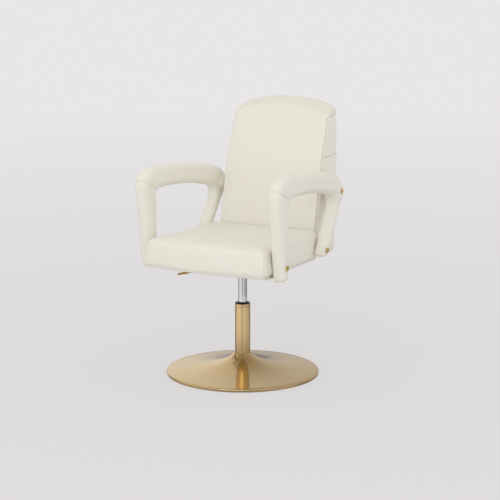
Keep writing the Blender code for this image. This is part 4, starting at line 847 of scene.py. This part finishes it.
def round_edges(obj, outline, half_width, radius):
    """Rolls a plate's long edges to a radius, from each point's distance to the outline and the side face."""
    place = points(obj)
    along = np.roll(outline, -1, axis=0) - outline
    run = (along**2).sum(axis=1)
    away = place[:, None, 1:] - outline[None]
    share = np.clip((away * along).sum(axis=2) / run, 0, 1)
    away = away - share[:, :, None] * along
    nearest = np.argmin((away**2).sum(axis=2), axis=1)
    # The outline's own turn tells which side of it is inside
    area = (outline[:, 0] * np.roll(outline[:, 1], -1) - np.roll(outline[:, 0], -1) * outline[:, 1]).sum()
    inward = np.sign(area) * np.stack([-along[:, 1], along[:, 0]], axis=1) / np.sqrt(run)[:, None]
    inward = inward[nearest]
    edge_gap = (away[np.arange(len(place)), nearest] * inward).sum(axis=1)
    face_gap = half_width - np.abs(place[:, 0])
    across, depth = np.maximum(radius - edge_gap, 0), np.maximum(radius - face_gap, 0)
    stretch = np.maximum(np.hypot(across, depth), 1e-9)
    corner = (across > 0) & (depth > 0)
    place[:, 1:] += np.where(corner, across - radius * across / stretch, 0)[:, None] * inward
    place[:, 0] -= np.where(corner, np.sign(place[:, 0]) * (depth - radius * depth / stretch), 0)
    move_points(obj, place)


def arm_place(size):
    """Transform from the left arm's own plane to its place on the chair."""
    pivot = Vector((size.place_x, size.place_y + COLUMN_Y, 0))
    turned_in = Matrix.Rotation(size.toe, 4, "Z") @ Matrix.Translation((0, -size.place_y, 0))
    return Matrix.Translation(pivot) @ turned_in


def line_gap(place, start, end):
    """Distance of each point from a line in the arm's YZ plane."""
    along = np.array(end) - np.array(start)
    along = along / np.hypot(*along)
    return (place[:, 1] - start[0]) * along[1] - (place[:, 2] - start[1]) * along[0]


# Bolts of each arm, the depth that a head's outer face is told by, and the cloth's radius that a head holds
BOLTS = ("front", "rear", "back")
FACE_DEPTH, HELD_RADIUS = 0.0004, 0.011
# Mitre seam's end behind the front leg and the run of its fade; the front strip's fade from the leg
MITRE_END, MITRE_FADE, STRIP_FADE = 0.014, 0.006, 0.01
# Fold over the rear leg: Y of its ends, and the runs in Y and height over which it starts
FOLD_FRONT_Y, FOLD_REAR_Y = 0.115, 0.175
FOLD_FADE_Y, FOLD_FADE_Z = (0.085, 0.110), (0.52, 0.54)


def bolt_spot(node, outward):
    """Middle of a bolt head's outer face."""
    spots = [v.co for v in frame["nodes"][node].data.vertices]
    reach = max(p.dot(outward) for p in spots)
    rim = [p for p in spots if p.dot(outward) > reach - FACE_DEPTH]
    low = Vector([min(p[k] for p in rim) for k in range(3)])
    high = Vector([max(p[k] for p in rim) for k in range(3)])
    return (low + high) / 2


def arm_loops():
    """Padded arm loops: one is stuffed and sewn, and the other is its mirror image."""
    size = chair().arms
    plate, outline = arm_plate(size)
    obj = padded_piece("arm_loop_left", plate, size.mesh_size)
    round_edges(obj, outline, size.width / 2, size.edge)
    ease(obj, 3)
    home = arm_place(size).inverted()
    outward = arm_place(size).to_3x3() @ Vector((1, 0, 0))
    bolts = [home @ bolt_spot(f"arm_bolt_{name}_left", outward) for name in BOLTS]
    place = points(obj)
    held = np.zeros(len(place), dtype=bool)
    for bolt in bolts:
        held |= (np.hypot(place[:, 1] - bolt.y, place[:, 2] - bolt.z) < HELD_RADIUS) & (place[:, 0] > 0)
    swell(obj, held, (size.swell, size.swell, size.swell))
    refine(obj)

    # The mitre and strip seams below get painted shade in their hollows
    place = points(obj)
    loop_corner = (size.leg_y, size.top - size.loop_front_depth - size.corner_drop)
    front = (size.leg_y - size.leg_top_width, size.mitre_rise)
    ahead = fade(size.leg_y + MITRE_END - place[:, 1], 0, MITRE_FADE)
    press_seam(obj, line_gap(place, front, loop_corner), ahead, depth=0.6, width=0.8, shade=0.7)
    strip = size.width / 2 - size.strip
    front_face = fade(-normals(obj)[:, 1], 0.15, 0.45) * fade(size.leg_y - place[:, 1], 0.0, STRIP_FADE)
    for edge in (-strip, strip):
        press_seam(obj, place[:, 0] - edge, front_face, depth=0.15, width=0.7, shade=0.15)

    place = points(obj)
    fold = line_gap(place, (FOLD_FRONT_Y, size.fold_front), (FOLD_REAR_Y, size.fold_rear))
    leg = fade(place[:, 1], *FOLD_FADE_Y) * fade(place[:, 2], *FOLD_FADE_Z)
    fold_depth = size.fold_depth / chair().upholstery.seam_depth
    # The fold's crease gets a faint painted shade
    press_seam(obj, fold, leg, depth=fold_depth, width=3.0, shade=0.1)
    # Stuffing reaches over the spacer, to lie against the back
    place = points(obj)
    off = np.hypot(place[:, 1] - bolts[-1].y, place[:, 2] - bolts[-1].z)
    inner = fade(-normals(obj)[:, 0], 0.0, 0.5)
    place[:, 0] -= size.boss * inner * np.exp(-((off / size.boss_reach) ** 4))
    move_points(obj, place)

    mirrored = add_object("arm_loop_right", obj.data.copy())
    for (side, label), arm in zip(SIDES, (obj, mirrored)):
        bm = bmesh.new()
        bm.from_mesh(arm.data)
        bmesh.ops.transform(bm, matrix=arm_place(size), verts=bm.verts)
        if side < 0:
            bmesh.ops.transform(bm, matrix=Matrix.Scale(-1, 4, (1, 0, 0)), verts=bm.verts)
            bmesh.ops.recalc_face_normals(bm, faces=bm.faces)
        bm.to_mesh(arm.data)
        bm.free()
        stand_for(arm, f"arm_pad_outer_{label}", f"arm_pad_inner_{label}")


def arm_toes():
    """Padded toes that turn in under the seat's front corners."""
    size = chair().arms
    for side, label in SIDES:
        low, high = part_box(f"arm_toe_{label}")
        middle = (low + high) / 2
        bm = hull_of(f"arm_toe_{label}")
        # The outer end runs into the leg, flush with its foot
        for vertex in bm.verts:
            if side * (vertex.co.x - middle.x) > 0:
                vertex.co.x += side * size.toe_run
                vertex.co.z = vertex.co.z if vertex.co.z > middle.z else min(vertex.co.z, size.leg_foot)
        obj = padded_piece(f"arm_toe_cover_{label}", bm, size.toe_mesh)
        ease(obj, 3)
        refine(obj)
        stand_for(obj, f"arm_toe_{label}")


# Metalwork

# Base disc: room round the sleeve, cuts along its flare, and the rolled rim's turn in degrees and cuts
COLLAR_ROOM, FLARE_CUTS = 0.0018, 40
RIM_TURN, RIM_CUTS = 80, 6
# Sleeve: its wall, its neck over the groove, its rounded lip, and the groove's drop and depth at each corner
SLEEVE_WALL, NECK, LIP = 0.0030, 0.0072, 0.0010
GROOVE = ((0.0024, 0.0), (0.0018, 0.0007), (0.0006, 0.0007), (0.0, 0.0))
# Bush: room round the cylinder, gap to the sleeve, radii of its crown and inner lip, and the lip's drop
BUSH_ROOM, BUSH_GAP = 0.0006, 0.0003
BUSH_CROWN, BUSH_LIP, BUSH_LIP_DROP = 0.0030, 0.0016, 0.0002
# Angle in degrees where the crown goes over into the bush's flat top, and the lip starts
CROWN_TURN = 75
# Cylinder: its wall, the round of its foot and step of its shoulder, its chamfer, its cap and the pin's hole
CYLINDER_WALL, CYLINDER_ROUND, CYLINDER_CHAMFER = 0.0015, 0.0012, 0.0010
CYLINDER_CAP, PIN_HOLE = 0.0040, 0.0045


def base_disc():
    """Spun trumpet disc with a rolled rim."""
    size = chair().metal
    low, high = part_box("base_shell")
    radius, collar = high.x, widest("column_sleeve") + COLLAR_ROOM
    slope = (high.z - size.rim_height) / (collar**-size.flare_power - radius**-size.flare_power)

    def flare(r):
        return size.rim_height + slope * (r**-size.flare_power - radius**-size.flare_power)

    # Radii close together by the column, where the flare is steep
    radii = [radius * (collar / radius) ** (k / FLARE_CUTS) for k in range(1, FLARE_CUTS + 1)]
    rim_centre = (radius - size.rim_round, size.rim_height - size.rim_round)
    outer = [(radius, low.z), *arc(rim_centre, size.rim_round, 0, RIM_TURN, RIM_CUTS)]
    outer += [(r, flare(r)) for r in radii]
    inner = [(r - size.sheet, min(flare(r) - 0.5 * size.sheet, high.z - size.sheet)) for r in reversed(radii)]
    bottom = [(radius - size.sheet, size.rim_height - 2 * size.sheet), (radius - size.sheet, low.z)]
    stand_for(turned("base_disc", outer + inner + bottom, size.base_steps, spun_gold), "base_shell")


def column_tubes():
    """Gold sleeve, the black bush in its mouth and the chrome cylinder that slides in it."""
    steps = chair().metal.tube_steps
    low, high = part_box("column_sleeve")
    radius, mouth = widest("column_sleeve"), high.z
    bore = radius - SLEEVE_WALL
    groove = [(radius - depth, mouth - NECK - drop) for drop, depth in GROOVE]
    lip = arc((radius - LIP, mouth - LIP), LIP, 0, 90, 4)
    profile = [(bore, low.z), (radius, low.z), *groove, *lip, (bore, mouth)]
    stand_for(turned("sleeve_tube", profile, steps, drawn_gold), "column_sleeve")

    low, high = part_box("guide_bush")
    reach, hole = widest("guide_bush"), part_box("gas_cylinder")[1].x + BUSH_ROOM
    crown = arc((reach - BUSH_CROWN, high.z - BUSH_CROWN), BUSH_CROWN, 0, CROWN_TURN, 6)
    dome = arc((hole + BUSH_LIP, high.z - BUSH_LIP_DROP), BUSH_LIP, CROWN_TURN, 180, 5)
    fit, seat_z = bore - BUSH_GAP, mouth + BUSH_GAP
    profile = [(hole, low.z), (fit, low.z), (fit, seat_z), (reach, seat_z), *crown, *dome]
    stand_for(turned("bush_collar", profile, steps, moulded_plastic), "guide_bush")

    low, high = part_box("gas_cylinder")
    radius, shoulder = high.x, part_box("taper_socket")[0].z
    inside, top_radius = radius - CYLINDER_WALL, radius - CYLINDER_ROUND
    profile = [
        (inside, low.z),
        *arc((radius - CYLINDER_ROUND, low.z + CYLINDER_ROUND), CYLINDER_ROUND, -90, 0, 4),
        (radius, shoulder),
        (top_radius, high.z - CYLINDER_CHAMFER),
        (top_radius - CYLINDER_CHAMFER, high.z),
        (PIN_HOLE, high.z),
        (PIN_HOLE, high.z - CYLINDER_CAP),
        (inside - CYLINDER_ROUND, high.z - CYLINDER_CAP),
        (inside, shoulder),
    ]
    stand_for(turned("chrome_cylinder", profile, steps, polished_chrome), "gas_cylinder")


# Arm bolt's head: its radius, height, skirt and depth in the cloth, and its chamfer's run and drop
BOLT_RADIUS, BOLT_HEIGHT, BOLT_SKIRT, BOLT_SET = 0.009, 0.0030, 0.0015, 0.0016
CHAMFER_RUN, CHAMFER_DROP = 0.0012, 0.0011
# Socket in it: its sides, its lead-in's run and drop, and its depth
SOCKET_SIDES, LEAD_RUN, LEAD_DROP, SOCKET_DEPTH = 6, 0.0006, 0.0004, 0.0022


def ring_edges(ring):
    """Edges between the vertices of a ring."""
    members = set(ring)
    return list(dict.fromkeys(e for v in ring for e in v.link_edges if e.other_vert(v) in members))


def bolt_head(size):
    """Furniture bolt's head on the XY plane: a chamfered disc with a hex socket."""
    bm = bmesh.new()
    socket = size.socket_width / 2
    loops = []
    for radius, z, facets in (
        (BOLT_RADIUS, -BOLT_SKIRT, size.bolt_facets),
        (BOLT_RADIUS, BOLT_HEIGHT - CHAMFER_DROP, size.bolt_facets),
        (BOLT_RADIUS - CHAMFER_RUN, BOLT_HEIGHT, size.bolt_facets),
        (socket + LEAD_RUN, BOLT_HEIGHT, size.bolt_facets),
        (socket, BOLT_HEIGHT - LEAD_DROP, SOCKET_SIDES),
        (socket, BOLT_HEIGHT - SOCKET_DEPTH, SOCKET_SIDES),
    ):
        ring = bmesh.ops.create_circle(bm, cap_ends=False, segments=facets, radius=radius)["verts"]
        bmesh.ops.translate(bm, verts=ring, vec=(0, 0, z))
        loops.append(ring)
    for first, second in zip(loops, loops[1:]):
        bmesh.ops.bridge_loops(bm, edges=ring_edges(first) + ring_edges(second))
    for cap in (loops[0], loops[-1]):
        bmesh.ops.contextual_create(bm, geom=ring_edges(cap))
    bmesh.ops.recalc_face_normals(bm, faces=bm.faces)
    return bm


def arm_bolts():
    """Gold bolts that hold the arms to the seat and the back."""
    for side, label in SIDES:
        outward = arm_place(chair().arms).to_3x3() @ Vector((1, 0, 0))
        outward.x *= side
        facing = outward.to_track_quat("Z", "Y").to_matrix().to_4x4()
        for name in BOLTS:
            node = f"arm_bolt_{name}_{label}"
            bm = bolt_head(chair().metal)
            seat = Matrix.Translation(bolt_spot(node, outward) - outward * BOLT_SET) @ facing
            bmesh.ops.transform(bm, matrix=seat, verts=bm.verts)
            obj = link_piece(f"bolt_{name}_{label}", to_mesh(bm, node, BOLT_SHARP), plated_gold)
            stand_for(obj, node)


# Angle in degrees under which a solid's neighbouring triangles lie in one face
FLAT_ANGLE = 1
# Finishes of the solids that are dressed as they are, and the widths of their broken edges
DRESSED = (
    (powder_coat, 0.0005, ("seat_plate", "taper_socket", "lever_bracket", "lever_bar", "column_hub")),
    (lever_gold, 0.0007, ("lever_handle",)),
    (zinc_steel, 0.0003, (*[f"plate_screw_{k}" for k in range(1, 5)], "ballast_plate", "lever_pin")),
    (spunbond_felt, 0, ("dust_cover",)),
    (moulded_rubber, 0.0006, ("floor_ring",)),
    (moulded_plastic, 0.0004, ("back_spacer_left", "back_spacer_right")),
)


def dressed_copy(node, maker, soft_edge):
    """Copy of a CAD solid with joined faces, smooth rounds and slightly broken edges."""
    bm = bmesh.new()
    bm.from_mesh(frame["nodes"][node].data)
    bmesh.ops.remove_doubles(bm, verts=bm.verts, dist=CAD_MERGE)
    bmesh.ops.dissolve_limit(bm, angle_limit=math.radians(FLAT_ANGLE), verts=bm.verts, edges=bm.edges)
    obj = link_piece(f"{node}_dressed", to_mesh(bm, node, METAL_SHARP), maker)
    if soft_edge:
        broken = obj.modifiers.new("Broken edges", "BEVEL")
        broken.width = soft_edge
        broken.segments = 2
        broken.limit_method = "ANGLE"
        broken.angle_limit = math.radians(METAL_SHARP)
    stand_for(obj, node)
    return obj


def seat_mechanism():
    """Swivel plate, socket, lever and the black cloth under the seat."""
    made = {node: dressed_copy(node, maker, edge) for maker, edge, nodes in DRESSED for node in nodes}
    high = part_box("lever_handle")[1]
    root = Matrix.Translation((high.x, 0, high.z))
    droop = Matrix.Rotation(-chair().metal.lever_droop, 4, "Y")
    made["lever_handle"].data.transform(root @ droop @ root.inverted())


INNER_FINISHES = {
    "steel": zinc_steel,
    "plywood": birch_plywood,
    "chrome": polished_chrome,
    "rubber": moulded_rubber,
    "black_plastic": moulded_plastic,
    "black_steel": powder_coat,
}


def inner_works():
    """Finishes for the solids inside the chair, which keep their CAD shapes."""
    for node, obj in frame["nodes"].items():
        if obj.hide_render:
            continue
        maker = INNER_FINISHES[SLOTS[node]]
        if not obj.material_slots:
            obj.data.materials.append(None)
        for slot in obj.material_slots:
            slot.material = finish(maker)


# Stage

# Brightness of the studio walls that the metal shows, by share of a turn from -X
WALLS = (
    (0.00, 0.45), (0.015, 0.58), (0.035, 0.98), (0.10, 1.00), (0.24, 0.96), (0.30, 0.78), (0.35, 0.76),
    (0.39, 0.86), (0.43, 1.00), (0.48, 0.66), (0.53, 0.76), (0.62, 0.70), (0.69, 0.60), (0.76, 0.60),
    (0.80, 0.57), (0.82, 0.61), (0.855, 0.88), (0.91, 0.97), (0.94, 0.90), (0.97, 0.48), (1.00, 0.45),
)


# Direction from the column to the floor that the bolts of the near arm show
BOLT_SIDE = (math.cos(math.radians(45)), math.sin(math.radians(45)), 0)


def wall_light(add, heading):
    """Brightness of the studio walls in a direction from the column."""
    share = add("ShaderNodeTexGradient", {"Vector": heading}, "Fac", gradient_type="RADIAL")
    walls = add("ShaderNodeFloatCurve", {"Value": share}, None)
    curve = walls.mapping.curves[0]
    curve.points[0].location, curve.points[-1].location = WALLS[0], WALLS[-1]
    for place, level in WALLS[1:-1]:
        curve.points.new(place, level)
    walls.mapping.update()
    return walls.outputs["Value"]


# Sockets of a ramp: where it starts and ends, and the values there
RAMP = ("From Min", "From Max", "To Min", "To Max")
# How much brighter the metal shows the floor than the walls
FLOOR_SHINE = 1.3


def floor_material():
    """Matt pale floor that the camera and the metal see as an even studio sweep."""
    look = chair().stage
    material, add, coords = new_material("studio_floor")
    path = add("ShaderNodeLightPath", give=None)
    centred = add("ShaderNodeVectorMath", {0: coords, 1: (0, COLUMN_Y, 0)}, operation="SUBTRACT")
    reach = add("ShaderNodeVectorMath", {0: centred}, "Value", operation="LENGTH")
    away = (-math.sin(look.dim_side), math.cos(look.dim_side), 0)
    behind = add("ShaderNodeVectorMath", {0: centred, 1: away}, "Value", operation="DOT_PRODUCT")
    beside = add("ShaderNodeVectorMath", {0: centred, 1: BOLT_SIDE}, "Value", operation="DOT_PRODUCT")
    # What changes with a distance in metres from the column, as a ramp
    share = {
        # Floor's own tone
        "tone": (reach, 1.0, 9.0, 0.0, 1.0),
        # Close to the chair the metal shows its shadow
        "shadow": (reach, 0.25, 0.60, 0.68, FLOOR_SHINE * look.gloss),
        # Further out the walls' tones lie further apart
        "spread": (reach, 1.03, 1.09, 1.0, look.far_contrast),
        # Behind the chair it is as dim as the foot of the walls
        "dim": (behind, 0.1, 0.4, 1.0, look.skirting / FLOOR_SHINE),
        # Far off on the side that the near arm's bolts face it is even and pale
        "clear": (beside, 1.90, 2.00, 0.0, 1.0),
        # Far off the camera sees only the floor's own colour, so that no line shows where it ends
        "own": (reach, 0.8, 4.0, 0.70, 1.0),
    }
    for name, (value, *ends) in share.items():
        share[name] = add("ShaderNodeMapRange", {"Value": value, **dict(zip(RAMP, ends))})
    tones = {0: share["tone"], 6: look.near_floor, 7: look.far_floor}
    tone = add("ShaderNodeMix", tones, 2, data_type="RGBA")
    # Metal shows the walls' paler and darker parts in the floor too
    walls = add("ShaderNodeMath", {0: wall_light(add, centred), 1: share["spread"]}, operation="POWER")
    paler = add("ShaderNodeMath", {0: share["shadow"], 1: share["dim"]}, operation="MULTIPLY")
    level = add("ShaderNodeMath", {0: walls, 1: paler}, operation="MULTIPLY")
    level = add("ShaderNodeMix", {0: share["clear"], 2: level, 3: look.bolt_light}, data_type="FLOAT")
    glossy = path.outputs["Is Glossy Ray"]
    level = add("ShaderNodeMix", {0: glossy, 2: 1.0, 3: level}, data_type="FLOAT")
    even = add("ShaderNodeEmission", {"Color": tone, "Strength": level})
    lit = add("ShaderNodeBsdfDiffuse", {"Color": tone})
    seen = add("ShaderNodeMath", {0: path.outputs["Is Camera Ray"], 1: share["own"]}, operation="MULTIPLY")
    seen = add("ShaderNodeMath", {0: seen, 1: glossy}, operation="MAXIMUM")
    mixed = add("ShaderNodeMixShader", {0: seen, 1: lit, 2: even})
    add("ShaderNodeOutputMaterial", {"Surface": mixed}, give=None)
    return material


def studio_world():
    """Even pale light from all round; metal shows paler and darker studio walls under a dimmer ceiling."""
    look = chair().stage
    world = bpy.data.worlds.new("studio_air")
    world.use_nodes = True
    world.node_tree.nodes.clear()
    add = partial(add_node, world.node_tree)
    path = add("ShaderNodeLightPath", give=None)
    heading = add("ShaderNodeTexCoord", give="Generated")
    height = add("ShaderNodeSeparateXYZ", {"Vector": heading}, "Z")
    bright = wall_light(add, heading)
    # High up the ceiling is dimmer, and low down the walls are
    for ends in ((0.35, 0.70, look.gloss, 0.8), (0.02, 0.16, look.skirting, 1.0)):
        part = add("ShaderNodeMapRange", {"Value": height, **dict(zip(RAMP, ends))})
        bright = add("ShaderNodeMath", {0: bright, 1: part}, operation="MULTIPLY")
    lit = add("ShaderNodeBackground", {"Color": linear("FDFDFC"), "Strength": look.fill})
    shown = add("ShaderNodeBackground", {"Color": linear("FBF9F7"), "Strength": bright})
    seen = add("ShaderNodeBackground", {"Color": look.far_floor, "Strength": 1.0})
    metal = add("ShaderNodeMixShader", {0: path.outputs["Is Glossy Ray"], 1: lit, 2: shown})
    mixed = add("ShaderNodeMixShader", {0: path.outputs["Is Camera Ray"], 1: metal, 2: seen})
    add("ShaderNodeOutputWorld", {"Surface": mixed}, give=None)
    bpy.context.scene.world = world


# Floor's radius in metres and its facets
FLOOR_RADIUS, FLOOR_FACETS = 40, 96
# Lamp's place, aim and width in metres
LAMP_SPOT, LAMP_AIM, LAMP_WIDTH = (0.9, -3.6, 1.7), (0, 0, 0.45), 2.6
# Width in millimetres of the frame that the focal length belongs to
FRAME_WIDTH = 36


def lamp(name, spot, target, across, power, tint):
    """Soft square lamp aimed at a point."""
    data = bpy.data.lights.new(name, "AREA")
    data.shape = "SQUARE"
    data.size = across
    data.energy = power
    data.color = linear(tint)[:3]
    aim = Vector(target) - Vector(spot)
    facing = aim.to_track_quat("-Z", "Y").to_matrix().to_4x4()
    add_object(name, data).matrix_world = Matrix.Translation(spot) @ facing


def studio():
    """Floor, light and the camera at the photograph's angle."""
    look = chair().stage
    bm = bmesh.new()
    bmesh.ops.create_circle(bm, cap_ends=True, segments=FLOOR_FACETS, radius=FLOOR_RADIUS)
    floor = add_object("studio_floor", to_mesh(bm, "studio_floor"))
    floor.data.materials.append(floor_material())
    studio_world()
    lamp("key_lamp", LAMP_SPOT, LAMP_AIM, LAMP_WIDTH, look.key_power, "FFFEFB")

    camera = add_object("photo_camera", bpy.data.cameras.new("photo_camera"))
    camera.data.lens = look.focal
    camera.data.sensor_width = FRAME_WIDTH
    place = look.camera_turn
    spot = Vector((look.camera_distance * math.sin(place), -look.camera_distance * math.cos(place), 0))
    spot += Vector((0, COLUMN_Y, look.camera_height))
    heading = place + look.camera_yaw
    level = Vector((-math.sin(heading), math.cos(heading), 0))
    forward = level * math.cos(look.camera_pitch) - Vector((0, 0, math.sin(look.camera_pitch)))
    camera.matrix_world = Matrix.Translation(spot) @ forward.to_track_quat("-Z", "Y").to_matrix().to_4x4()
    bpy.context.scene.camera = camera
    bpy.context.scene.view_settings.view_transform = "Standard"


# Operators and panel

class CHAIR_OT_seat(Operator):
    """Makes the seat cushion"""

    bl_idname = "chair.seat"
    bl_label = "Seat cushion"

    def execute(self, context):
        seat_cushion()
        return {"FINISHED"}


class CHAIR_OT_back(Operator):
    """Makes the backrest and its rear panel"""

    bl_idname = "chair.back"
    bl_label = "Backrest"

    def execute(self, context):
        back_cushion()
        back_panel()
        return {"FINISHED"}


class CHAIR_OT_arms(Operator):
    """Makes the padded arm loops and their toes"""

    bl_idname = "chair.arms"
    bl_label = "Arm loops"

    def execute(self, context):
        arm_loops()
        arm_toes()
        return {"FINISHED"}


class CHAIR_OT_bolts(Operator):
    """Makes the gold arm bolts"""

    bl_idname = "chair.bolts"
    bl_label = "Arm bolts"

    def execute(self, context):
        arm_bolts()
        return {"FINISHED"}


class CHAIR_OT_base(Operator):
    """Makes the spun base disc"""

    bl_idname = "chair.base"
    bl_label = "Base disc"

    def execute(self, context):
        base_disc()
        return {"FINISHED"}


class CHAIR_OT_column(Operator):
    """Makes the sleeve, bush and gas cylinder"""

    bl_idname = "chair.column"
    bl_label = "Column"

    def execute(self, context):
        column_tubes()
        return {"FINISHED"}


class CHAIR_OT_mechanism(Operator):
    """Dresses the plate, socket, lever and underside"""

    bl_idname = "chair.mechanism"
    bl_label = "Seat mechanism"

    def execute(self, context):
        seat_mechanism()
        return {"FINISHED"}


class CHAIR_OT_inner(Operator):
    """Gives the solids inside the chair their finishes"""

    bl_idname = "chair.inner"
    bl_label = "Inner works"

    def execute(self, context):
        inner_works()
        return {"FINISHED"}


class CHAIR_OT_stage(Operator):
    """Sets up the floor, the light and the camera"""

    bl_idname = "chair.stage"
    bl_label = "Studio"

    def execute(self, context):
        studio()
        return {"FINISHED"}


OPERATORS = (
    CHAIR_OT_stage,
    CHAIR_OT_seat,
    CHAIR_OT_back,
    CHAIR_OT_arms,
    CHAIR_OT_bolts,
    CHAIR_OT_base,
    CHAIR_OT_column,
    CHAIR_OT_mechanism,
    CHAIR_OT_inner,
)


class CHAIR_PT_panel(Panel):
    """Lists the chair's pieces"""

    bl_idname = "CHAIR_PT_panel"
    bl_label = "Manicure chair"
    bl_space_type = "VIEW_3D"
    bl_region_type = "UI"
    bl_category = "Chair"

    def draw(self, context):
        for operator in OPERATORS:
            self.layout.operator(operator.bl_idname)


GROUPS = (
    CHAIR_PG_upholstery,
    CHAIR_PG_seat,
    CHAIR_PG_back,
    CHAIR_PG_arms,
    CHAIR_PG_metal,
    CHAIR_PG_stage,
    CHAIR_PG_settings,
)
CLASSES = (*GROUPS, *OPERATORS, CHAIR_PT_panel)


def register():
    for cls in CLASSES:
        bpy.utils.register_class(cls)
    bpy.types.Scene.manicure_chair = PointerProperty(type=CHAIR_PG_settings)


def unregister():
    del bpy.types.Scene.manicure_chair
    for cls in reversed(CLASSES):
        bpy.utils.unregister_class(cls)


def main():
    register()
    for operator in OPERATORS:
        group, name = operator.bl_idname.split(".")
        getattr(getattr(bpy.ops, group), name)()


if __name__ == "__main__":
    main()
